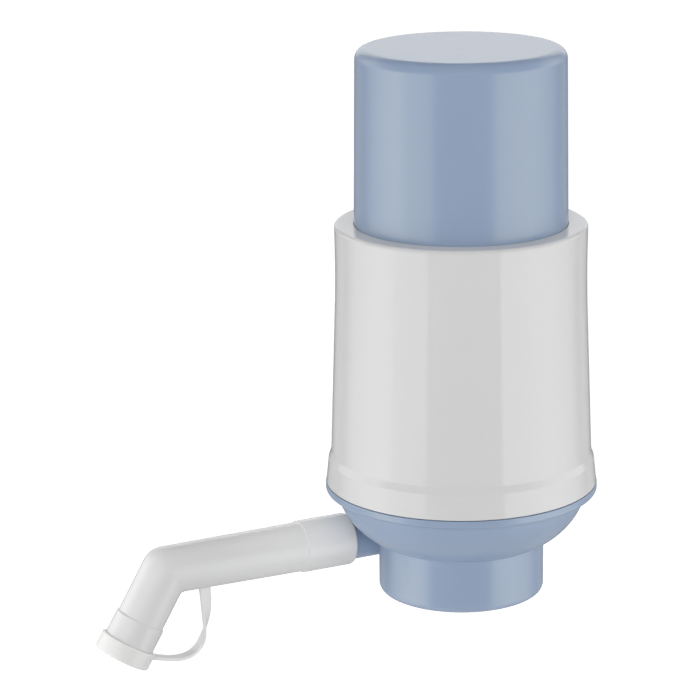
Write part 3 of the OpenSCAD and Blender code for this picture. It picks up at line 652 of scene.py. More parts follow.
epdm_rubber = bpy.data.materials.new("moulded_epdm_rubber")
tree = empty_tree(epdm_rubber)
place = add(tree, "ShaderNodeTexCoord").outputs["Object"]
bloom = mottled(tree, place, BLOOM_PATCH, linear("#3c3e41"), linear("#56585c"), 5, 0.6)[0]
rubber = add(tree, "ShaderNodeBsdfPrincipled", inputs={
    "Base Color": bloom, "Roughness": 0.62, "IOR": 1.52,
    "Normal": relief(tree, place, RUBBER_GRAIN, RUBBER_GRAIN * 0.08, 3, 0.6)})
add(tree, "ShaderNodeOutputMaterial", inputs={"Surface": rubber.outputs[0]})
print("rubber:", epdm_rubber.name)

# %% [markdown]
# The screws and the spring are zinc-plated steel: a metal with a cool silver
# colour, whose plating is cloudy in patches of a few millimetres, and which
# carries fine scratches along the wire from drawing. The scratches are noise
# that is twenty times finer along Z than across it.

# %% Zinc-plated steel
PLATING_PATCH = 3 * MM
DRAWN_LINE = 0.12 * MM
DRAWN_STRETCH = 20

zinc_steel = bpy.data.materials.new("zinc_plated_steel")
tree = empty_tree(zinc_steel)
place = add(tree, "ShaderNodeTexCoord").outputs["Object"]
cloud, patches = mottled(tree, place, PLATING_PATCH, linear("#b9bec6"), linear("#dcdfe2"), 4, 0.55)
matt = add(tree, "ShaderNodeMapRange", inputs={"Value": patches, "To Min": 0.22, "To Max": 0.42})
sideways = 1 / DRAWN_LINE / DRAWN_STRETCH
lines = add(tree, "ShaderNodeMapping", inputs={
    "Vector": place, "Scale": (sideways, sideways, 1 / DRAWN_LINE)})
# The place is already measured in scratches, so the relief's size is one
steel = add(tree, "ShaderNodeBsdfPrincipled", inputs={
    "Base Color": cloud, "Roughness": matt.outputs[0], "Metallic": 1,
    "Normal": relief(tree, lines.outputs[0], 1, DRAWN_LINE * 0.1, 2)})
add(tree, "ShaderNodeOutputMaterial", inputs={"Surface": steel.outputs[0]})
print("steel:", zinc_steel.name)

# %% [markdown]
# The press cap is a deep cup, upside down. Its top edge has a rounding of
# about 4 mm. The side widens a millimetre towards the foot, which is the
# draft that lets it out of the mould, and a lip at the foot stops it inside
# the housing. Three bosses under the top take the screws of the bellows'
# plate.

# %% Press cap
lowest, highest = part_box("press_cap")
cap_top = highest.z / MM
lip_r = highest.x / MM
lip_foot = lowest.z / MM
LIP_H = 3.2
CAP_R = 39.25
CAP_FOOT_R = 40.25
CAP_WALL = 2.2
CAP_TOP_T = 2.6
CAP_EDGE = 4.2
BOSS_R = 3.2
BOSS_H = 4.7
BOSS_CIRCLE_R = 24.5
BOSS_ROOT = 0.5
SCREW_R = 1.45
SCREW_END_GAP = 0.2
ceiling = cap_top - CAP_TOP_T

cap_outline = rounded([
    (0, ceiling, 0), (CAP_R - CAP_WALL, ceiling, 2), (CAP_FOOT_R - CAP_WALL, lip_foot, 0.4),
    (lip_r, lip_foot, 0.5), (lip_r, lip_foot + LIP_H, 0.5), (CAP_FOOT_R, lip_foot + LIP_H, 0.3),
    (CAP_R, cap_top, CAP_EDGE), (0, cap_top, 0)])
cap_shape = turned(cap_outline)


def about_axis(count, radius, start=0):
    """Places evenly round the pump's axis."""
    angles = [radians(start + 360 * i / count) for i in range(count)]
    return [Matrix.Translation((radius * cos(a), radius * sin(a), 0)) for a in angles]


for place in about_axis(3, BOSS_CIRCLE_R, 90):
    cap_shape = shape(cap_shape, "UNION", rod(BOSS_R, ceiling - BOSS_H, ceiling + BOSS_ROOT, place, 32))
    cap_shape = shape(cap_shape, "DIFFERENCE",
                      rod(SCREW_R, ceiling - BOSS_H - PAST, ceiling - SCREW_END_GAP, place, 24))
press_cap = finish_mesh("press_cap_shell", *cap_shape, blue_abs, "press_head", "blue_abs")
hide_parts("press_cap")
print("press cap: top at", round(cap_top, 1), "mm, faces", len(press_cap.data.polygons))

# %% [markdown]
# The housing is a white tube with a soft waist. Its flat top ring guides the
# cap, a flared skirt with a small sloped step finishes its foot, and inside
# the foot a socket with a groove snaps over the base's rim. The waist is two
# very large roundings, since the real wall is one flowing curve.

# %% Outer housing
lowest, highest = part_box("outer_housing")
ring_z = highest.z / MM
skirt_z = lowest.z / MM
skirt_foot_r = highest.x / MM
GUIDE_R = 40.53
GUIDE_MOUTH_R = 40.2
GUIDE_WALL = 1.8
GUIDE_H = 10
RING_W = 6.95
RING_T = 2.4
HOUSING_EDGE = 1.4
HOUSING_WALL = 2.2
WAIST_R = 47.26
WAIST_DROP = 13.2
HOUSING_FOOT_R = 49.56
SKIRT_TOP_R = 50.61
SKIRT_H = 9.4
SKIRT_SLOPE_H = 2.8
WAIST_CURVE = 380
WAIST_DRAFT = 0.1
RIM_R = 48.46
RIM_PLAY = 0.2
SNAP_DEPTH = 0.9
SNAP_H = 2.2
SNAP_SLOPE_END = 2.4
RIM_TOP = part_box("base_body")[1].z / MM
housing_top_r = GUIDE_R + RING_W
waist_z = ring_z - WAIST_DROP
low_waist_z = waist_z - WAIST_DROP
slope_z = skirt_z + SKIRT_H + SKIRT_SLOPE_H
socket_r = RIM_R + RIM_PLAY
groove_r = RIM_R + SNAP_DEPTH
groove_z = skirt_z + SNAP_H

housing_outline = rounded([
    (socket_r, skirt_z, 0.2), (skirt_foot_r, skirt_z, 0.35), (SKIRT_TOP_R, skirt_z + SKIRT_H, 1.2),
    (HOUSING_FOOT_R, slope_z, 2.2), (WAIST_R + WAIST_DRAFT, low_waist_z, WAIST_CURVE),
    (WAIST_R, waist_z, WAIST_CURVE), (housing_top_r, ring_z, HOUSING_EDGE),
    (GUIDE_MOUTH_R, ring_z, 0.12), (GUIDE_R, ring_z - RING_T - GUIDE_H, 0.3),
    (GUIDE_R + GUIDE_WALL, ring_z - RING_T - GUIDE_H, 0.3), (GUIDE_R + GUIDE_WALL, ring_z - RING_T, 0.5),
    (housing_top_r - HOUSING_WALL, ring_z - RING_T, 0.5),
    (WAIST_R - HOUSING_WALL, waist_z, WAIST_CURVE),
    (WAIST_R + WAIST_DRAFT - HOUSING_WALL, low_waist_z, WAIST_CURVE),
    (HOUSING_FOOT_R - HOUSING_WALL, slope_z, 2), (HOUSING_FOOT_R - HOUSING_WALL, RIM_TOP, 0),
    (socket_r, RIM_TOP, 0.3), (socket_r, groove_z + SNAP_SLOPE_END, 0), (groove_r, groove_z + SNAP_H, 0),
    (groove_r, groove_z, 0), (socket_r, groove_z, 0)])
outer_housing = finish_mesh(
    "outer_housing_shell", *turned(housing_outline), white_abs, "pump_body", "white_abs")
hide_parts("outer_housing")
print("housing:", round(ring_z - skirt_z, 1), "mm high, outline of", len(housing_outline), "points")

# %% [markdown]
# The base is one blue moulding: the collar that goes over the neck, a bowl
# that flares up to a flange, the rim inside the housing, and a stub that
# leaves sideways for the spout. Under its floor a nipple takes the intake
# tube, a duct leads from there to the stub, and four small holes let air
# down into the jug. It is turned first, and the rest is joined on and cut.

# %% Base
lowest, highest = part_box("base_body")
flange_r = highest.y / MM
stub_end = -lowest.x / MM
MOUTH_R = 27.8
MOUTH_H = 8
RECESS_R = 29.6
COLLAR_R = 31.6
COLLAR_EDGE = 2.4
COLLAR_H = 20.65
BOWL_R = 48.11
BOWL_Z = 40.5
BOWL_ARC_R = 28.6
BOWL_WALL = 2.4
FLOOR_T = 2.65
FLANGE_Z = 43.65
FLANGE_EDGE = 1.1
RIM_WALL = 2.4
LEDGE_Z = 40.2
LEDGE_T = 2.4
LEDGE_R = 39.8
GUSSET_Z = 34.4
OUTLET_Y = 20.3
OUTLET_Z = 19.7
STUB_R = 8.35
STUB_BORE_R = 5.4

chord = np.array([BOWL_R - COLLAR_R, BOWL_Z - COLLAR_H])
rise = np.sqrt(BOWL_ARC_R ** 2 - chord @ chord / 4)
bowl_centre = (np.array([BOWL_R + COLLAR_R, BOWL_Z + COLLAR_H]) / 2
               + rise * np.array([-chord[1], chord[0]]) / np.linalg.norm(chord))
inner_r = BOWL_ARC_R - BOWL_WALL
bowl_floor = bowl_centre[1] - inner_r
floor_z = bowl_floor - FLOOR_T


def bowl_angle(radius, height):
    return np.arctan2(height - bowl_centre[1], radius - bowl_centre[0])


gusset_r = bowl_centre[0] + np.sqrt(inner_r ** 2 - (GUSSET_Z - bowl_centre[1]) ** 2)
base_outline = (
    rounded([(MOUTH_R, MOUTH_H, 0), (MOUTH_R, 0, 0.4), (COLLAR_R, 0, COLLAR_EDGE),
             (COLLAR_R, COLLAR_H, 0)])[:-1]
    + arc(bowl_centre, BOWL_ARC_R, bowl_angle(COLLAR_R, COLLAR_H), bowl_angle(BOWL_R, BOWL_Z), 28)
    + rounded([(BOWL_R, BOWL_Z, 0), (flange_r, BOWL_Z, FLANGE_EDGE), (flange_r, FLANGE_Z, 0.25),
               (RIM_R, FLANGE_Z, 0.3), (RIM_R, RIM_TOP, 0.4), (RIM_R - RIM_WALL, RIM_TOP, 0.4),
               (RIM_R - RIM_WALL, LEDGE_Z, 0.3), (LEDGE_R, LEDGE_Z, 0.3),
               (LEDGE_R, LEDGE_Z - LEDGE_T, 0)])[1:]
    + arc(bowl_centre, inner_r, bowl_angle(gusset_r, GUSSET_Z), -pi / 2, 28)
    + [(0, bowl_floor), (0, floor_z), (RECESS_R, floor_z), (RECESS_R, MOUTH_H)])
# The outline starts on the axis, so that both its ends are poles
first = base_outline.index((0, floor_z))
base_outline = base_outline[first:] + base_outline[:first]
base_shape = turned(base_outline)
print("bowl's arc is centred at", [round(float(c), 2) for c in bowl_centre],
      "mm, floor at", round(float(floor_z), 2))

# %% [markdown]
# The stub, the duct and the nipple are the water's way out of the jug. They
# are made as a moulder would make them: one round core pin shapes each bore,
# and the duct's floor is flat above the bowl's floor. The solid forms are
# joined on first. The bottom of the stub inside the collar is cut away,
# because the bottle's neck needs that room.

# %% Stub, duct, nipple and bosses
NIPPLE_Y = 13.0
NIPPLE_R = 5.5
NIPPLE_H = 9.6
NIPPLE_CHAMFER = 0.6
RISER_BORE_TOP = OUTLET_Z + STUB_BORE_R - 1
RISER_ROOF = 1.5
PASSAGE_W = 6
PLATE_SCREW_CIRCLE_R = 42.6
PLATE_SCREW_L = 9.6
PLATE_BOSS_R = 2.8
PLATE_BOSS_END = 1
PLATE_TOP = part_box("bellows")[0].z / MM
OFF_FACE = 0.01

on_outlet = Matrix.Translation((0, OUTLET_Y, OUTLET_Z)) @ Matrix.Rotation(-pi / 2, 4, "Y")
on_nipple = Matrix.Translation((0, NIPPLE_Y, 0))
at_plate_screws = about_axis(4, PLATE_SCREW_CIRCLE_R, 45)
stub = shape(rod(STUB_R, -NIPPLE_R, stub_end, on_outlet, 96), "DIFFERENCE",
             rod(RECESS_R, -PAST, float(floor_z)))
for more in (
    stub,
    rod(NIPPLE_R, floor_z - NIPPLE_H, RISER_BORE_TOP + RISER_ROOF, on_nipple, 64, NIPPLE_CHAMFER),
    block((-PASSAGE_W / 2 - RISER_ROOF, NIPPLE_Y, floor_z + OFF_FACE),
          (PASSAGE_W / 2 + RISER_ROOF, OUTLET_Y, RISER_BORE_TOP + RISER_ROOF)),
    several([rod(PLATE_BOSS_R, PLATE_TOP - PLATE_SCREW_L - PLATE_BOSS_END, LEDGE_Z - LEDGE_T / 2, place)
             for place in at_plate_screws]),
):
    base_shape = shape(base_shape, "UNION", more)
print("base with its stub, nipple and bosses: faces", len(base_shape[1]))

# %% [markdown]
# Then everything that is hollow is cut out: the stub's bore, the duct, the
# passage to the nipple, the groove for the sealing ring, the four air vents
# and the holes for the plate's screws.

# %% Bores, groove, vents and screw holes
NIPPLE_BORE_R = 4.0
DUCT_FLOOR = 1.6
DUCT_ROOM = 60
ROUND_BORE_X = 27.24
BORE_OVERLAP = 0.05
GROOVE_X = 45.9
GROOVE_W = 2.06
GROOVE_R = 6.82
VENT_R = 2.2
VENT_CIRCLE_R = 13
VENT_ANGLES = (-160, -110, -70, -20)
SCREW_PLAY = 0.05

duct_bore = shape(rod(STUB_BORE_R, -NIPPLE_BORE_R, ROUND_BORE_X + BORE_OVERLAP, on_outlet), "INTERSECT",
                  block((-2 * ROUND_BORE_X, 0, floor_z + DUCT_FLOOR),
                        (2 * ROUND_BORE_X, DUCT_ROOM, DUCT_ROOM)))
groove = shape(rod(STUB_R + PAST, GROOVE_X - GROOVE_W / 2, GROOVE_X + GROOVE_W / 2, on_outlet, 96),
               "DIFFERENCE",
               rod(GROOVE_R, GROOVE_X - GROOVE_W, GROOVE_X + GROOVE_W, on_outlet, 96))
vents = [Matrix.Rotation(radians(a), 4, "Z") @ Matrix.Translation((VENT_CIRCLE_R, 0, 0))
         for a in VENT_ANGLES]
for less in (
    rod(STUB_BORE_R, ROUND_BORE_X, stub_end + 5 * PAST, on_outlet), duct_bore,
    block((-PASSAGE_W / 2, NIPPLE_Y, floor_z + DUCT_FLOOR), (PASSAGE_W / 2, OUTLET_Y, RISER_BORE_TOP)),
    rod(NIPPLE_BORE_R, floor_z - NIPPLE_H - PAST, RISER_BORE_TOP, on_nipple), groove,
    several([rod(VENT_R, floor_z - PAST, bowl_floor + PAST, place, 32) for place in vents]),
    several([rod(SCREW_R + SCREW_PLAY, PLATE_TOP - PLATE_SCREW_L - SCREW_END_GAP, LEDGE_Z + PAST,
                 place, 24) for place in at_plate_screws]),
):
    base_shape = shape(base_shape, "DIFFERENCE", less)
base = finish_mesh("base_moulding", *base_shape, blue_abs, "pump_body", "blue_abs")
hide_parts("base_body")
print("base: faces", len(base.data.polygons))

# %% [markdown]
# The spout is a bent tube: a thick collar that turns on the stub, a tapered
# run, an elbow, and a leg that ends in a slightly thicker stretch and the tip
# under the cap. The elbow of the real mould is two round core pins that meet
# at an angle. Its outer corner is a ball as wide as the tube, and its inner
# corner has only a small fillet. So the rings there fan out from a pivot
# inside the bend, and each is drawn out to the ball.

# %% Spout rings
RING_POINTS = 96
ELBOW_X = 115.1
BEND = radians(59)
LEG_R = 9.1
TUBE_R = 9.48
TUBE_WALL = 1.9
BEND_FILLET = 2.5
ELBOW_RINGS = 18
leg_along = np.array([cos(BEND), -sin(BEND)])
leg_across = np.array([sin(BEND), cos(BEND)])
elbow = np.array([ELBOW_X, OUTLET_Z])
pivot_reach = LEG_R + BEND_FILLET
bend_start = pivot_reach * tan(BEND / 2)
pivot = elbow + np.array([-bend_start, -pivot_reach])
ring_turns = [2 * pi * i / RING_POINTS for i in range(RING_POINTS)]


def ring_at(centre, across, inner, outer, width):
    """A ring in the plane of Y and across: half ellipses towards and away from the bend's pivot."""
    points = []
    for a in ring_turns:
        reach = (outer if cos(a) > 0 else inner) * cos(a)
        x, z = centre + across * reach
        points.append((-x, OUTLET_Y + width * sin(a), z))
    return points


def run_ring(distance, radius):
    return ring_at(np.array([distance, OUTLET_Z]), np.array([0, 1]), radius, radius, radius)


def leg_ring(distance, radius):
    return ring_at(elbow + leg_along * distance, leg_across, radius, radius, radius)


def elbow_rings(radius):
    """Rings that fan round the pivot, from the end of the run to the start of the leg."""
    fillet = pivot_reach - radius
    corner = pivot_reach / cos(BEND / 2)
    rings = []
    for i in range(1, ELBOW_RINGS):
        turn = BEND * i / ELBOW_RINGS
        near = min(turn, BEND - turn)
        axis = pivot_reach / cos(near)
        off = corner * sin(BEND / 2 - near)
        ball = corner * cos(BEND / 2 - near) + np.sqrt(max(0, radius ** 2 - off ** 2))
        on_run = (pivot_reach + radius) * tan(near) <= bend_start
        outer = (pivot_reach + radius) / cos(near) if on_run else ball
        across = np.array([sin(turn), cos(turn)])
        rings.append(ring_at(pivot + across * axis, across, axis - fillet, outer - axis, radius))
    return rings


print("the bend's pivot lies", [round(float(c), 1) for c in pivot], "mm from the axis and up")

# %% [markdown]
# The rings run along the outside from the collar's mouth to the tip, turn
# over the tip's edge, and come back along the bore to the mouth, so the tube
# is one closed surface with a real wall. The outlines of the run and the leg
# are again corners with roundings.

# %% Spout
SPOUT_START = 38.9
SOCKET_R = 10
SOCKET_L = 20.9
SOCKET_BORE_R = 8.42
SOCKET_DEPTH = 18.5
LEG_L = 21
END_R = 9.65
END_L = 9
END_SLOPE = 0.45
TIP_R = 8.6
TIP_L = 5.2
TIP_BORE_R = 7.1
leg_bore_r = LEG_R - TUBE_WALL
run_end = ELBOW_X - bend_start
socket_end = SPOUT_START + SOCKET_L
bore_start = SPOUT_START + SOCKET_DEPTH
end_z = LEG_L + END_L
tip_z = end_z + TIP_L

run_outline = rounded([
    (run_end, leg_bore_r, 0), (bore_start, TUBE_R - TUBE_WALL, 0), (bore_start, SOCKET_BORE_R, 0.2),
    (SPOUT_START, SOCKET_BORE_R, 0.3), (SPOUT_START, SOCKET_R, 1.2), (socket_end, SOCKET_R, 0.4),
    (socket_end, TUBE_R, 0.06), (run_end, LEG_R, 0)])
leg_outline = rounded([
    (bend_start, LEG_R, 0), (LEG_L - END_SLOPE, LEG_R, 0.5), (LEG_L, END_R, 0.4), (end_z, END_R, 0.07),
    (end_z, TIP_R, 0), (tip_z, TIP_R, 0.4), (tip_z, TIP_BORE_R, 0.3), (end_z, TIP_BORE_R, 0),
    (end_z, leg_bore_r, 0), (bend_start, leg_bore_r, 0)])
spout_rings = ([run_ring(*p) for p in run_outline] + elbow_rings(LEG_R)
               + [leg_ring(*p) for p in leg_outline] + elbow_rings(leg_bore_r)[::-1])
spout_shape = skin(spout_rings, closed=True)
STRAP_X = 99.3
PEG_R = 1.5
PEG_PLAY = 0.05
at_peg = Matrix.Translation((-STRAP_X, OUTLET_Y, 0))
under_tube = OUTLET_Z - TUBE_R
peg_hole = rod(PEG_R + PEG_PLAY, under_tube - PAST, under_tube + TUBE_WALL + PAST, at_peg, 24)
spout_shape = shape(spout_shape, "DIFFERENCE", peg_hole)
spout = finish_mesh("spout_tube_shell", *spout_shape, spout_abs, "spout_arm", "spout_white")
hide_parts("spout_tube")
print("spout: rings", len(spout_rings), "faces", len(spout.data.polygons))

# %% [markdown]
# The spout cap is a shallow cup of soft plastic. Its rim is a little wider
# than the spout's end, so a thin line of shadow shows where they meet. In the
# solid the two stand a small gap apart, and the drawn rim nearly closes it.
# The cap is turned like the other round pieces and then laid along the leg.

# %% Spout cap
CAP_OUT_R = 10.84
CAP_PLAY = 0.08
CAP_END_T = 1.35
CAP_TIP_GAP = 0.3
CAP_RIM_GAP = 0.3
CAP_RIM_SEEN = 0.03
cap_rim_z = end_z + CAP_RIM_GAP
cap_end_z = tip_z + CAP_TIP_GAP + CAP_END_T
drawn_rim_z = end_z + CAP_RIM_SEEN

spout_cap_outline = rounded([
    (0, cap_end_z - CAP_END_T, 0), (TIP_R + CAP_PLAY, cap_end_z - CAP_END_T, 0.4),
    (TIP_R + CAP_PLAY, drawn_rim_z, 0), (CAP_OUT_R, drawn_rim_z, 0.7),
    (CAP_OUT_R, cap_end_z, 1.1), (0, cap_end_z, 0)])
on_leg = Matrix.Translation((-ELBOW_X, OUTLET_Y, OUTLET_Z)) @ Matrix.Rotation(-pi / 2 - BEND, 4, "Y")
vertices, faces = turned(spout_cap_outline, 96)
spout_cap = finish_mesh(
    "spout_cap_cup", moved(vertices, on_leg), faces, soft_polyethylene, "spout_cap_body", "soft_cap")
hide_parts("spout_cap")
print("spout cap:", round(cap_end_z - cap_rim_z, 2), "mm deep")

# %% [markdown]
# The strap ties the cap to the spout. It is a flat ribbon about 4.6 mm wide,
# moulded with the cap, and its free end is plugged into the underside of the
# tube. It leaves the tube with its width along the tube, hangs down, turns
# by a quarter as it bends, and comes up to the cap lying flat. A rounded
# rectangle is swept along a curve for this, and it thickens a little at both
# ends, where the real one flows into the cap and the peg.

# %% Strap
STRAP_W = 4.6
STRAP_T = 1.3
STRAP_DROP = 26.5
STRAP_LEAN = -2.2
STRAP_BELOW_RIM = 1.6
STRAP_BOW = 20
STRAP_END_ANGLE = radians(21)
STRAP_TWIST_END = 0.42
STRAP_STEPS = 72
STRAP_ROOT_SINK = 0.3
STRAP_CAP_SINK = 0.9
STRAP_OFF_CAP = 0.3
PEG_SINK = 0.2
FLARE = 0.45
FLARE_L = 1.3
tube_r_there = TUBE_R + (LEG_R - TUBE_R) * (STRAP_X - socket_end) / (ELBOW_X - socket_end)
strap_root = np.array([STRAP_X, OUTLET_Z - tube_r_there + STRAP_ROOT_SINK])
strap_end_along = np.array([-cos(STRAP_END_ANGLE), -sin(STRAP_END_ANGLE)])
strap_end = (elbow + leg_along * (cap_rim_z + STRAP_BELOW_RIM)
             + np.array([-sin(BEND), -cos(BEND)]) * (CAP_OUT_R + STRAP_OFF_CAP)
             - strap_end_along * STRAP_CAP_SINK)
strap_control = [strap_root, strap_root + [STRAP_LEAN, -STRAP_DROP],
                 strap_end + STRAP_BOW * strap_end_along, strap_end]


def strap_at(t):
    weights = [(1 - t) ** 3, 3 * t * (1 - t) ** 2, 3 * t * t * (1 - t), t ** 3]
    return sum(w * p for w, p in zip(weights, strap_control))


def strap_ring(t, section):
    """The ribbon's section at t, with its width turning from along the tube to across it."""
    here, ahead = strap_at(t), strap_at(t + 1e-4) - strap_at(t - 1e-4)
    ahead = ahead / np.linalg.norm(ahead)
    share = min(1, t / STRAP_TWIST_END)
    turn = pi / 2 * share * share * (3 - 2 * share)
    across = np.array([cos(turn) * -ahead[1], sin(turn), cos(turn) * -ahead[0]])
    out = np.array([-sin(turn) * -ahead[1], cos(turn), -sin(turn) * -ahead[0]])
    ends = min(np.linalg.norm(here - strap_root), np.linalg.norm(here - strap_end) - STRAP_CAP_SINK)
    thicker = 1 + FLARE * np.exp(-(max(0, ends) / FLARE_L) ** 2)
    place = np.array([-here[0], OUTLET_Y, here[1]])
    return [tuple(place + across * w + out * h * thicker) for w, h in section]


w, h = STRAP_W / 2, STRAP_T / 2
strap_section = rounded([(w, -h, 0.35), (w, h, 0.35), (-w, h, 0.35), (-w, -h, 0.35)])
strap_rings = [strap_ring(i / STRAP_STEPS, strap_section) for i in range(STRAP_STEPS + 1)]
vertices, faces = skin(strap_rings, closed=False)
count = len(strap_section)
faces += [tuple(range(count))[::-1], tuple(range(len(vertices) - count, len(vertices)))]
peg = rod(PEG_R, strap_root[1] - PEG_SINK, strap_root[1] + TUBE_WALL - PEG_SINK, at_peg, 24)
strap = finish_mesh("cap_strap_ribbon", *shape((vertices, faces), "UNION", peg),
                    soft_polyethylene, None, "soft_cap")
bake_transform(strap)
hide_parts("cap_strap")
print("strap ends at", [round(float(c), 1) for c in strap_end], "mm")

# %% [markdown]
# The base stands over the spout and takes light from it, yet the photo shows
# the spout light right up to the base. So two more lamps are shielded to light
# only the spout, its cap and its strap. A wide one high on the left brightens
# the left side of the leg, and a narrow warm one above brightens the socket.
# The base casts no shadow in the narrow one's light, and the warmth makes up
# for the blue that the base throws on the socket.

# %% Lamps for the spout
SPOUT_LAMP_PLACE = (-80, 0.8, 0.6)
SPOUT_LAMP_SIZE = 0.4
SPOUT_LAMP_LEVEL = 3
BASE_MIDDLE = Vector((0, 0, 0.05))
SOCKET_SNOOT_PLACE = (-12, 0.5, 0.9)
SOCKET_SNOOT_POWER = 29
SOCKET_SNOOT_ANGLE = 3.2
SOCKET_TOP = (-38, 14, 32)

lit_alone = bpy.data.collections.new("lit_by_spout_lamp")
for piece in (spout, spout_cap, strap):
    lit_alone.objects.link(piece)
spout_lamp = area_lamp("shielded_spout_lamp", SPOUT_LAMP_SIZE, SPOUT_LAMP_SIZE, SPOUT_LAMP_LEVEL,
                       aimed(around(*SPOUT_LAMP_PLACE), BASE_MIDDLE))
spout_lamp.visible_glossy = False
socket_snoot = snoot("snoot_on_socket", around(*SOCKET_SNOOT_PLACE), SOCKET_TOP, SOCKET_SNOOT_POWER,
                     SOCKET_SNOOT_ANGLE, "#fff8ef")
for lamp in (spout_lamp, socket_snoot):
    lamp.light_linking.receiver_collection = lit_alone
socket_snoot.light_linking.blocker_collection = lit_alone

# %% [markdown]
# The bellows is moulded rubber with twelve folds. A fold's crest and valley
# are rounded on the outside and the inside, or the rubber would crack there.
# Its foot is a flat flange under a clamping ring, and its top is a cuff over
# the plate. On the real pump it shortens when the cap is pressed.

# %% Bellows
lowest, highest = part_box("bellows")
bellows_foot, bellows_top = lowest.z / MM, highest.z / MM
FOLDS = 12
BELLOWS_R = 34.5
CUFF_R = 29.1
RUBBER_T = 1.2
FOOT_T = 1.8
FOOT_INNER_W = 1.6
FOOT_OUTER_W = 0.5
CUFF_H = 3.8
TOP_CUFF_R = 31.75
TOP_CUFF_Z = 194
TOP_CUFF_SLOPE_OUT = 2.4
TOP_CUFF_SLOPE_IN = 2.6
fold_z = bellows_foot + FOOT_T + CUFF_H
pitch = (TOP_CUFF_Z - fold_z) / FOLDS
crests = [(fold_z + (i + 0.5) * pitch, fold_z + (i + 1) * pitch) for i in range(FOLDS)]
outside = [c for crest, valley in crests
           for c in ((BELLOWS_R, crest, 1.6), (CUFF_R, valley, 0.8))][:-1]
inside = [c for crest, valley in crests[::-1]
          for c in ((CUFF_R - RUBBER_T, valley, 1.6), (BELLOWS_R - RUBBER_T, crest, 0.8))][1:]
foot_r, foot_top = BELLOWS_R + FOOT_OUTER_W, bellows_foot + FOOT_T
cuff_in_r, top_cuff_in_r = CUFF_R - RUBBER_T, TOP_CUFF_R - RUBBER_T
bellows_outline = rounded(
    [(cuff_in_r - FOOT_INNER_W, bellows_foot, 0.3), (foot_r, bellows_foot, 0.4),
     (foot_r, foot_top, 0.4), (CUFF_R, foot_top, 0.5), (CUFF_R, fold_z, 1)]
    + outside
    + [(CUFF_R, TOP_CUFF_Z, 0.6), (TOP_CUFF_R, TOP_CUFF_Z + TOP_CUFF_SLOPE_OUT, 0.6),
       (TOP_CUFF_R, bellows_top, 0.4), (top_cuff_in_r, bellows_top, 0.4),
       (top_cuff_in_r, TOP_CUFF_Z + TOP_CUFF_SLOPE_IN, 0.5), (cuff_in_r, TOP_CUFF_Z, 0.6)]
    + inside
    + [(cuff_in_r, fold_z, 0.6), (cuff_in_r, foot_top, 0.3),
       (cuff_in_r - FOOT_INNER_W, foot_top, 0.3)])
bellows = finish_mesh(
    "bellows_rubber", *turned(bellows_outline, 96), epdm_rubber, "pump_body", "grey_rubber")
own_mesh(bellows)
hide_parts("bellows")

# %% [markdown]
# The return spring is one length of drawn wire wound nine times. The first
# and the last turn lie flat as seats, and the turns between climb evenly. The
# wire's ends are cut square.

# %% Return spring
lowest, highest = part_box("return_spring")
spring_foot, spring_top = lowest.z / MM, highest.z / MM
SPRING_R = 20.5
WIRE_R = 0.9
SPRING_TURNS = 9
PER_TURN = 48
WIRE_POINTS = 14
SEAT_LOOSENESS = 1.3
seat_climb = 2 * WIRE_R * SEAT_LOOSENESS
free_climb = (spring_top - spring_foot - 2 * WIRE_R - 2 * seat_climb) / (SPRING_TURNS - 2)


def wire_ring(step):
    turn = step / PER_TURN
    angle = 2 * pi * turn
    height = (spring_foot + WIRE_R + min(turn, 1) * seat_climb
              + max(0, min(turn - 1, SPRING_TURNS - 2)) * free_climb
              + max(0, turn - SPRING_TURNS + 1) * seat_climb)
    section = [-2 * pi * i / WIRE_POINTS for i in range(WIRE_POINTS)]
    return [((SPRING_R + WIRE_R * cos(b)) * cos(angle), (SPRING_R + WIRE_R * cos(b)) * sin(angle),
             height + WIRE_R * sin(b)) for b in section]


vertices, faces = skin([wire_ring(i) for i in range(SPRING_TURNS * PER_TURN + 1)], closed=False)
faces += [tuple(range(WIRE_POINTS))[::-1], tuple(range(len(vertices) - WIRE_POINTS, len(vertices)))]
spring = finish_mesh("return_spring_wire", vertices, faces, zinc_steel, "pump_body", "zinc_steel")
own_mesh(spring)
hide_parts("return_spring")

# %% [markdown]
# The two valves are silicone mushrooms: a thin round head that lies against
# the plate over the air ports, and a stem with a bulb that is pulled through
# the middle hole.

# %% Valves
VALVE_R = 9
VALVE_T = 1.3
STEM_R = 1.45
PLATE_T = 3
SEAT_GAP = 0.05
STEM_SPARE = 1.2
BULB_H = 2
BULB_PROUD = 0.85


def mushroom(name, plate_z, body, node):
    head = plate_z - SEAT_GAP
    stem_top = plate_z + PLATE_T + STEM_SPARE
    bulb_r = STEM_R + BULB_PROUD
    outline = rounded([
        (0, head - VALVE_T - 0.5, 0), (STEM_R + 1, head - VALVE_T, 2),
        (VALVE_R - 0.6, head - VALVE_T * 0.6, 2), (VALVE_R, head - VALVE_T * 0.3, 0.2),
        (VALVE_R, head, 0.15), (STEM_R, head, 0.3), (STEM_R, stem_top, 0.2), (bulb_r, stem_top, 0.3),
        (bulb_r, stem_top + BULB_H * 0.3, 0.5), (STEM_R * 0.6, stem_top + BULB_H, 0.4),
        (0, stem_top + BULB_H, 0)])
    valve = finish_mesh(name, *turned(outline, 64), clear_silicone, body, "clear_seal")
    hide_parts(node)
    return valve


top_plate_z = bellows_top - PLATE_T
valve_plate_z = PLATE_TOP - PLATE_T
mushroom("inlet_valve_mushroom", top_plate_z, "inlet_valve_body", "inlet_valve")
mushroom("outlet_valve_mushroom", valve_plate_z, "outlet_valve_body", "outlet_valve")
print("valves at", round(valve_plate_z, 1), "and", round(top_plate_z, 1), "mm")

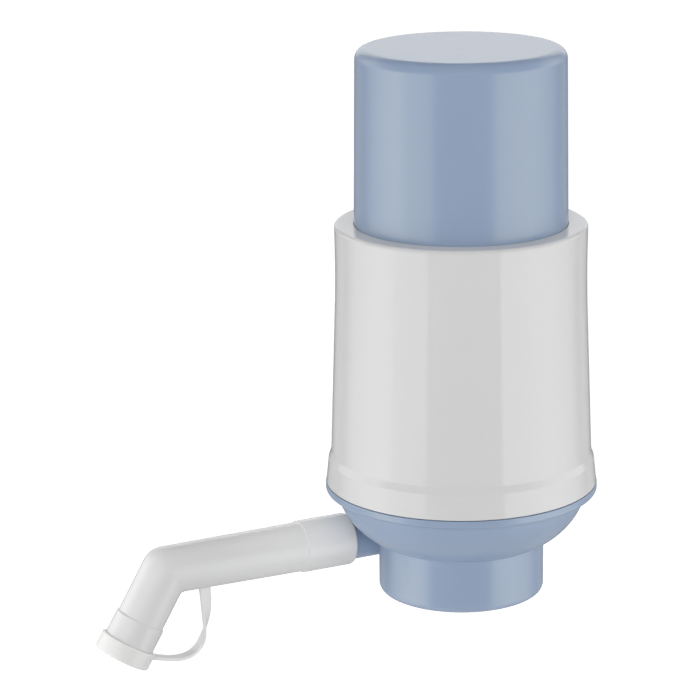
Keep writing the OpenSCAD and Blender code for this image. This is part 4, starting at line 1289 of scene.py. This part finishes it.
# %% [markdown]
# The neck seal is a silicone sleeve in the collar. Its inner lip lies under
# the floor, where the bottle's rim presses on it.

# %% Neck seal
NECK_R = 27.5
BOTTLE_MOUTH_R = 20.5
LIP_T = 1.6
SEAL_FOOT_GAP = 0.2
seal_foot = MOUTH_H + SEAL_FOOT_GAP
seal_r = RECESS_R - 0.05
seal_outline = rounded([
    (NECK_R + 0.2, seal_foot, 0.3), (seal_r, seal_foot, 0.3), (seal_r, floor_z, 0.2),
    (BOTTLE_MOUTH_R, floor_z, 0.3), (BOTTLE_MOUTH_R, floor_z - LIP_T, 0.4),
    (NECK_R - 0.4, floor_z - LIP_T, 0.3), (NECK_R, floor_z - LIP_T - 1, 0.5),
    (NECK_R, seal_foot + 1, 0.4)])
neck_seal = finish_mesh(
    "neck_seal_sleeve", *turned(seal_outline), clear_silicone, "pump_body", "clear_seal")
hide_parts("neck_seal")
print("neck seal:", round(float(floor_z) - seal_foot, 1), "mm high")

# %% [markdown]
# The plates, the gasket, the clamping rings, the screws and the sealing ring
# are right as they were measured, so they stay, and each gets the finish of
# its own material.

# %% Finishes of the pieces that stay
finishes = {
    "valve_plate": milky_polypropylene, "bellows_foot_ring": milky_polypropylene,
    "bellows_top_plate": milky_polypropylene, "bellows_top_ring": milky_polypropylene,
    "plate_gasket": clear_silicone, "spout_o_ring": epdm_rubber,
    "plate_screws": zinc_steel, "foot_ring_screws": zinc_steel, "top_plate_screws": zinc_steel,
}
for node, material in finishes.items():
    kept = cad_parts[node]
    kept.data.materials.clear()
    kept.data.materials.append(material)
print("kept pieces:", ", ".join(sorted(finishes)))

# %% [markdown]
# The measured model's box and the box of the finished surfaces are both
# printed at the end. The finished surfaces have to stay inside the
# measured model's box.

# %% Sizes
bpy.context.view_layer.update()
shown_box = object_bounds()
sizes = {"cad": [list(corner) for corner in cad_box], "visual": [list(corner) for corner in shown_box]}
for kind, corners in sizes.items():
    print(kind, "box in mm:", [[round(c / MM, 1) for c in corner] for corner in corners])
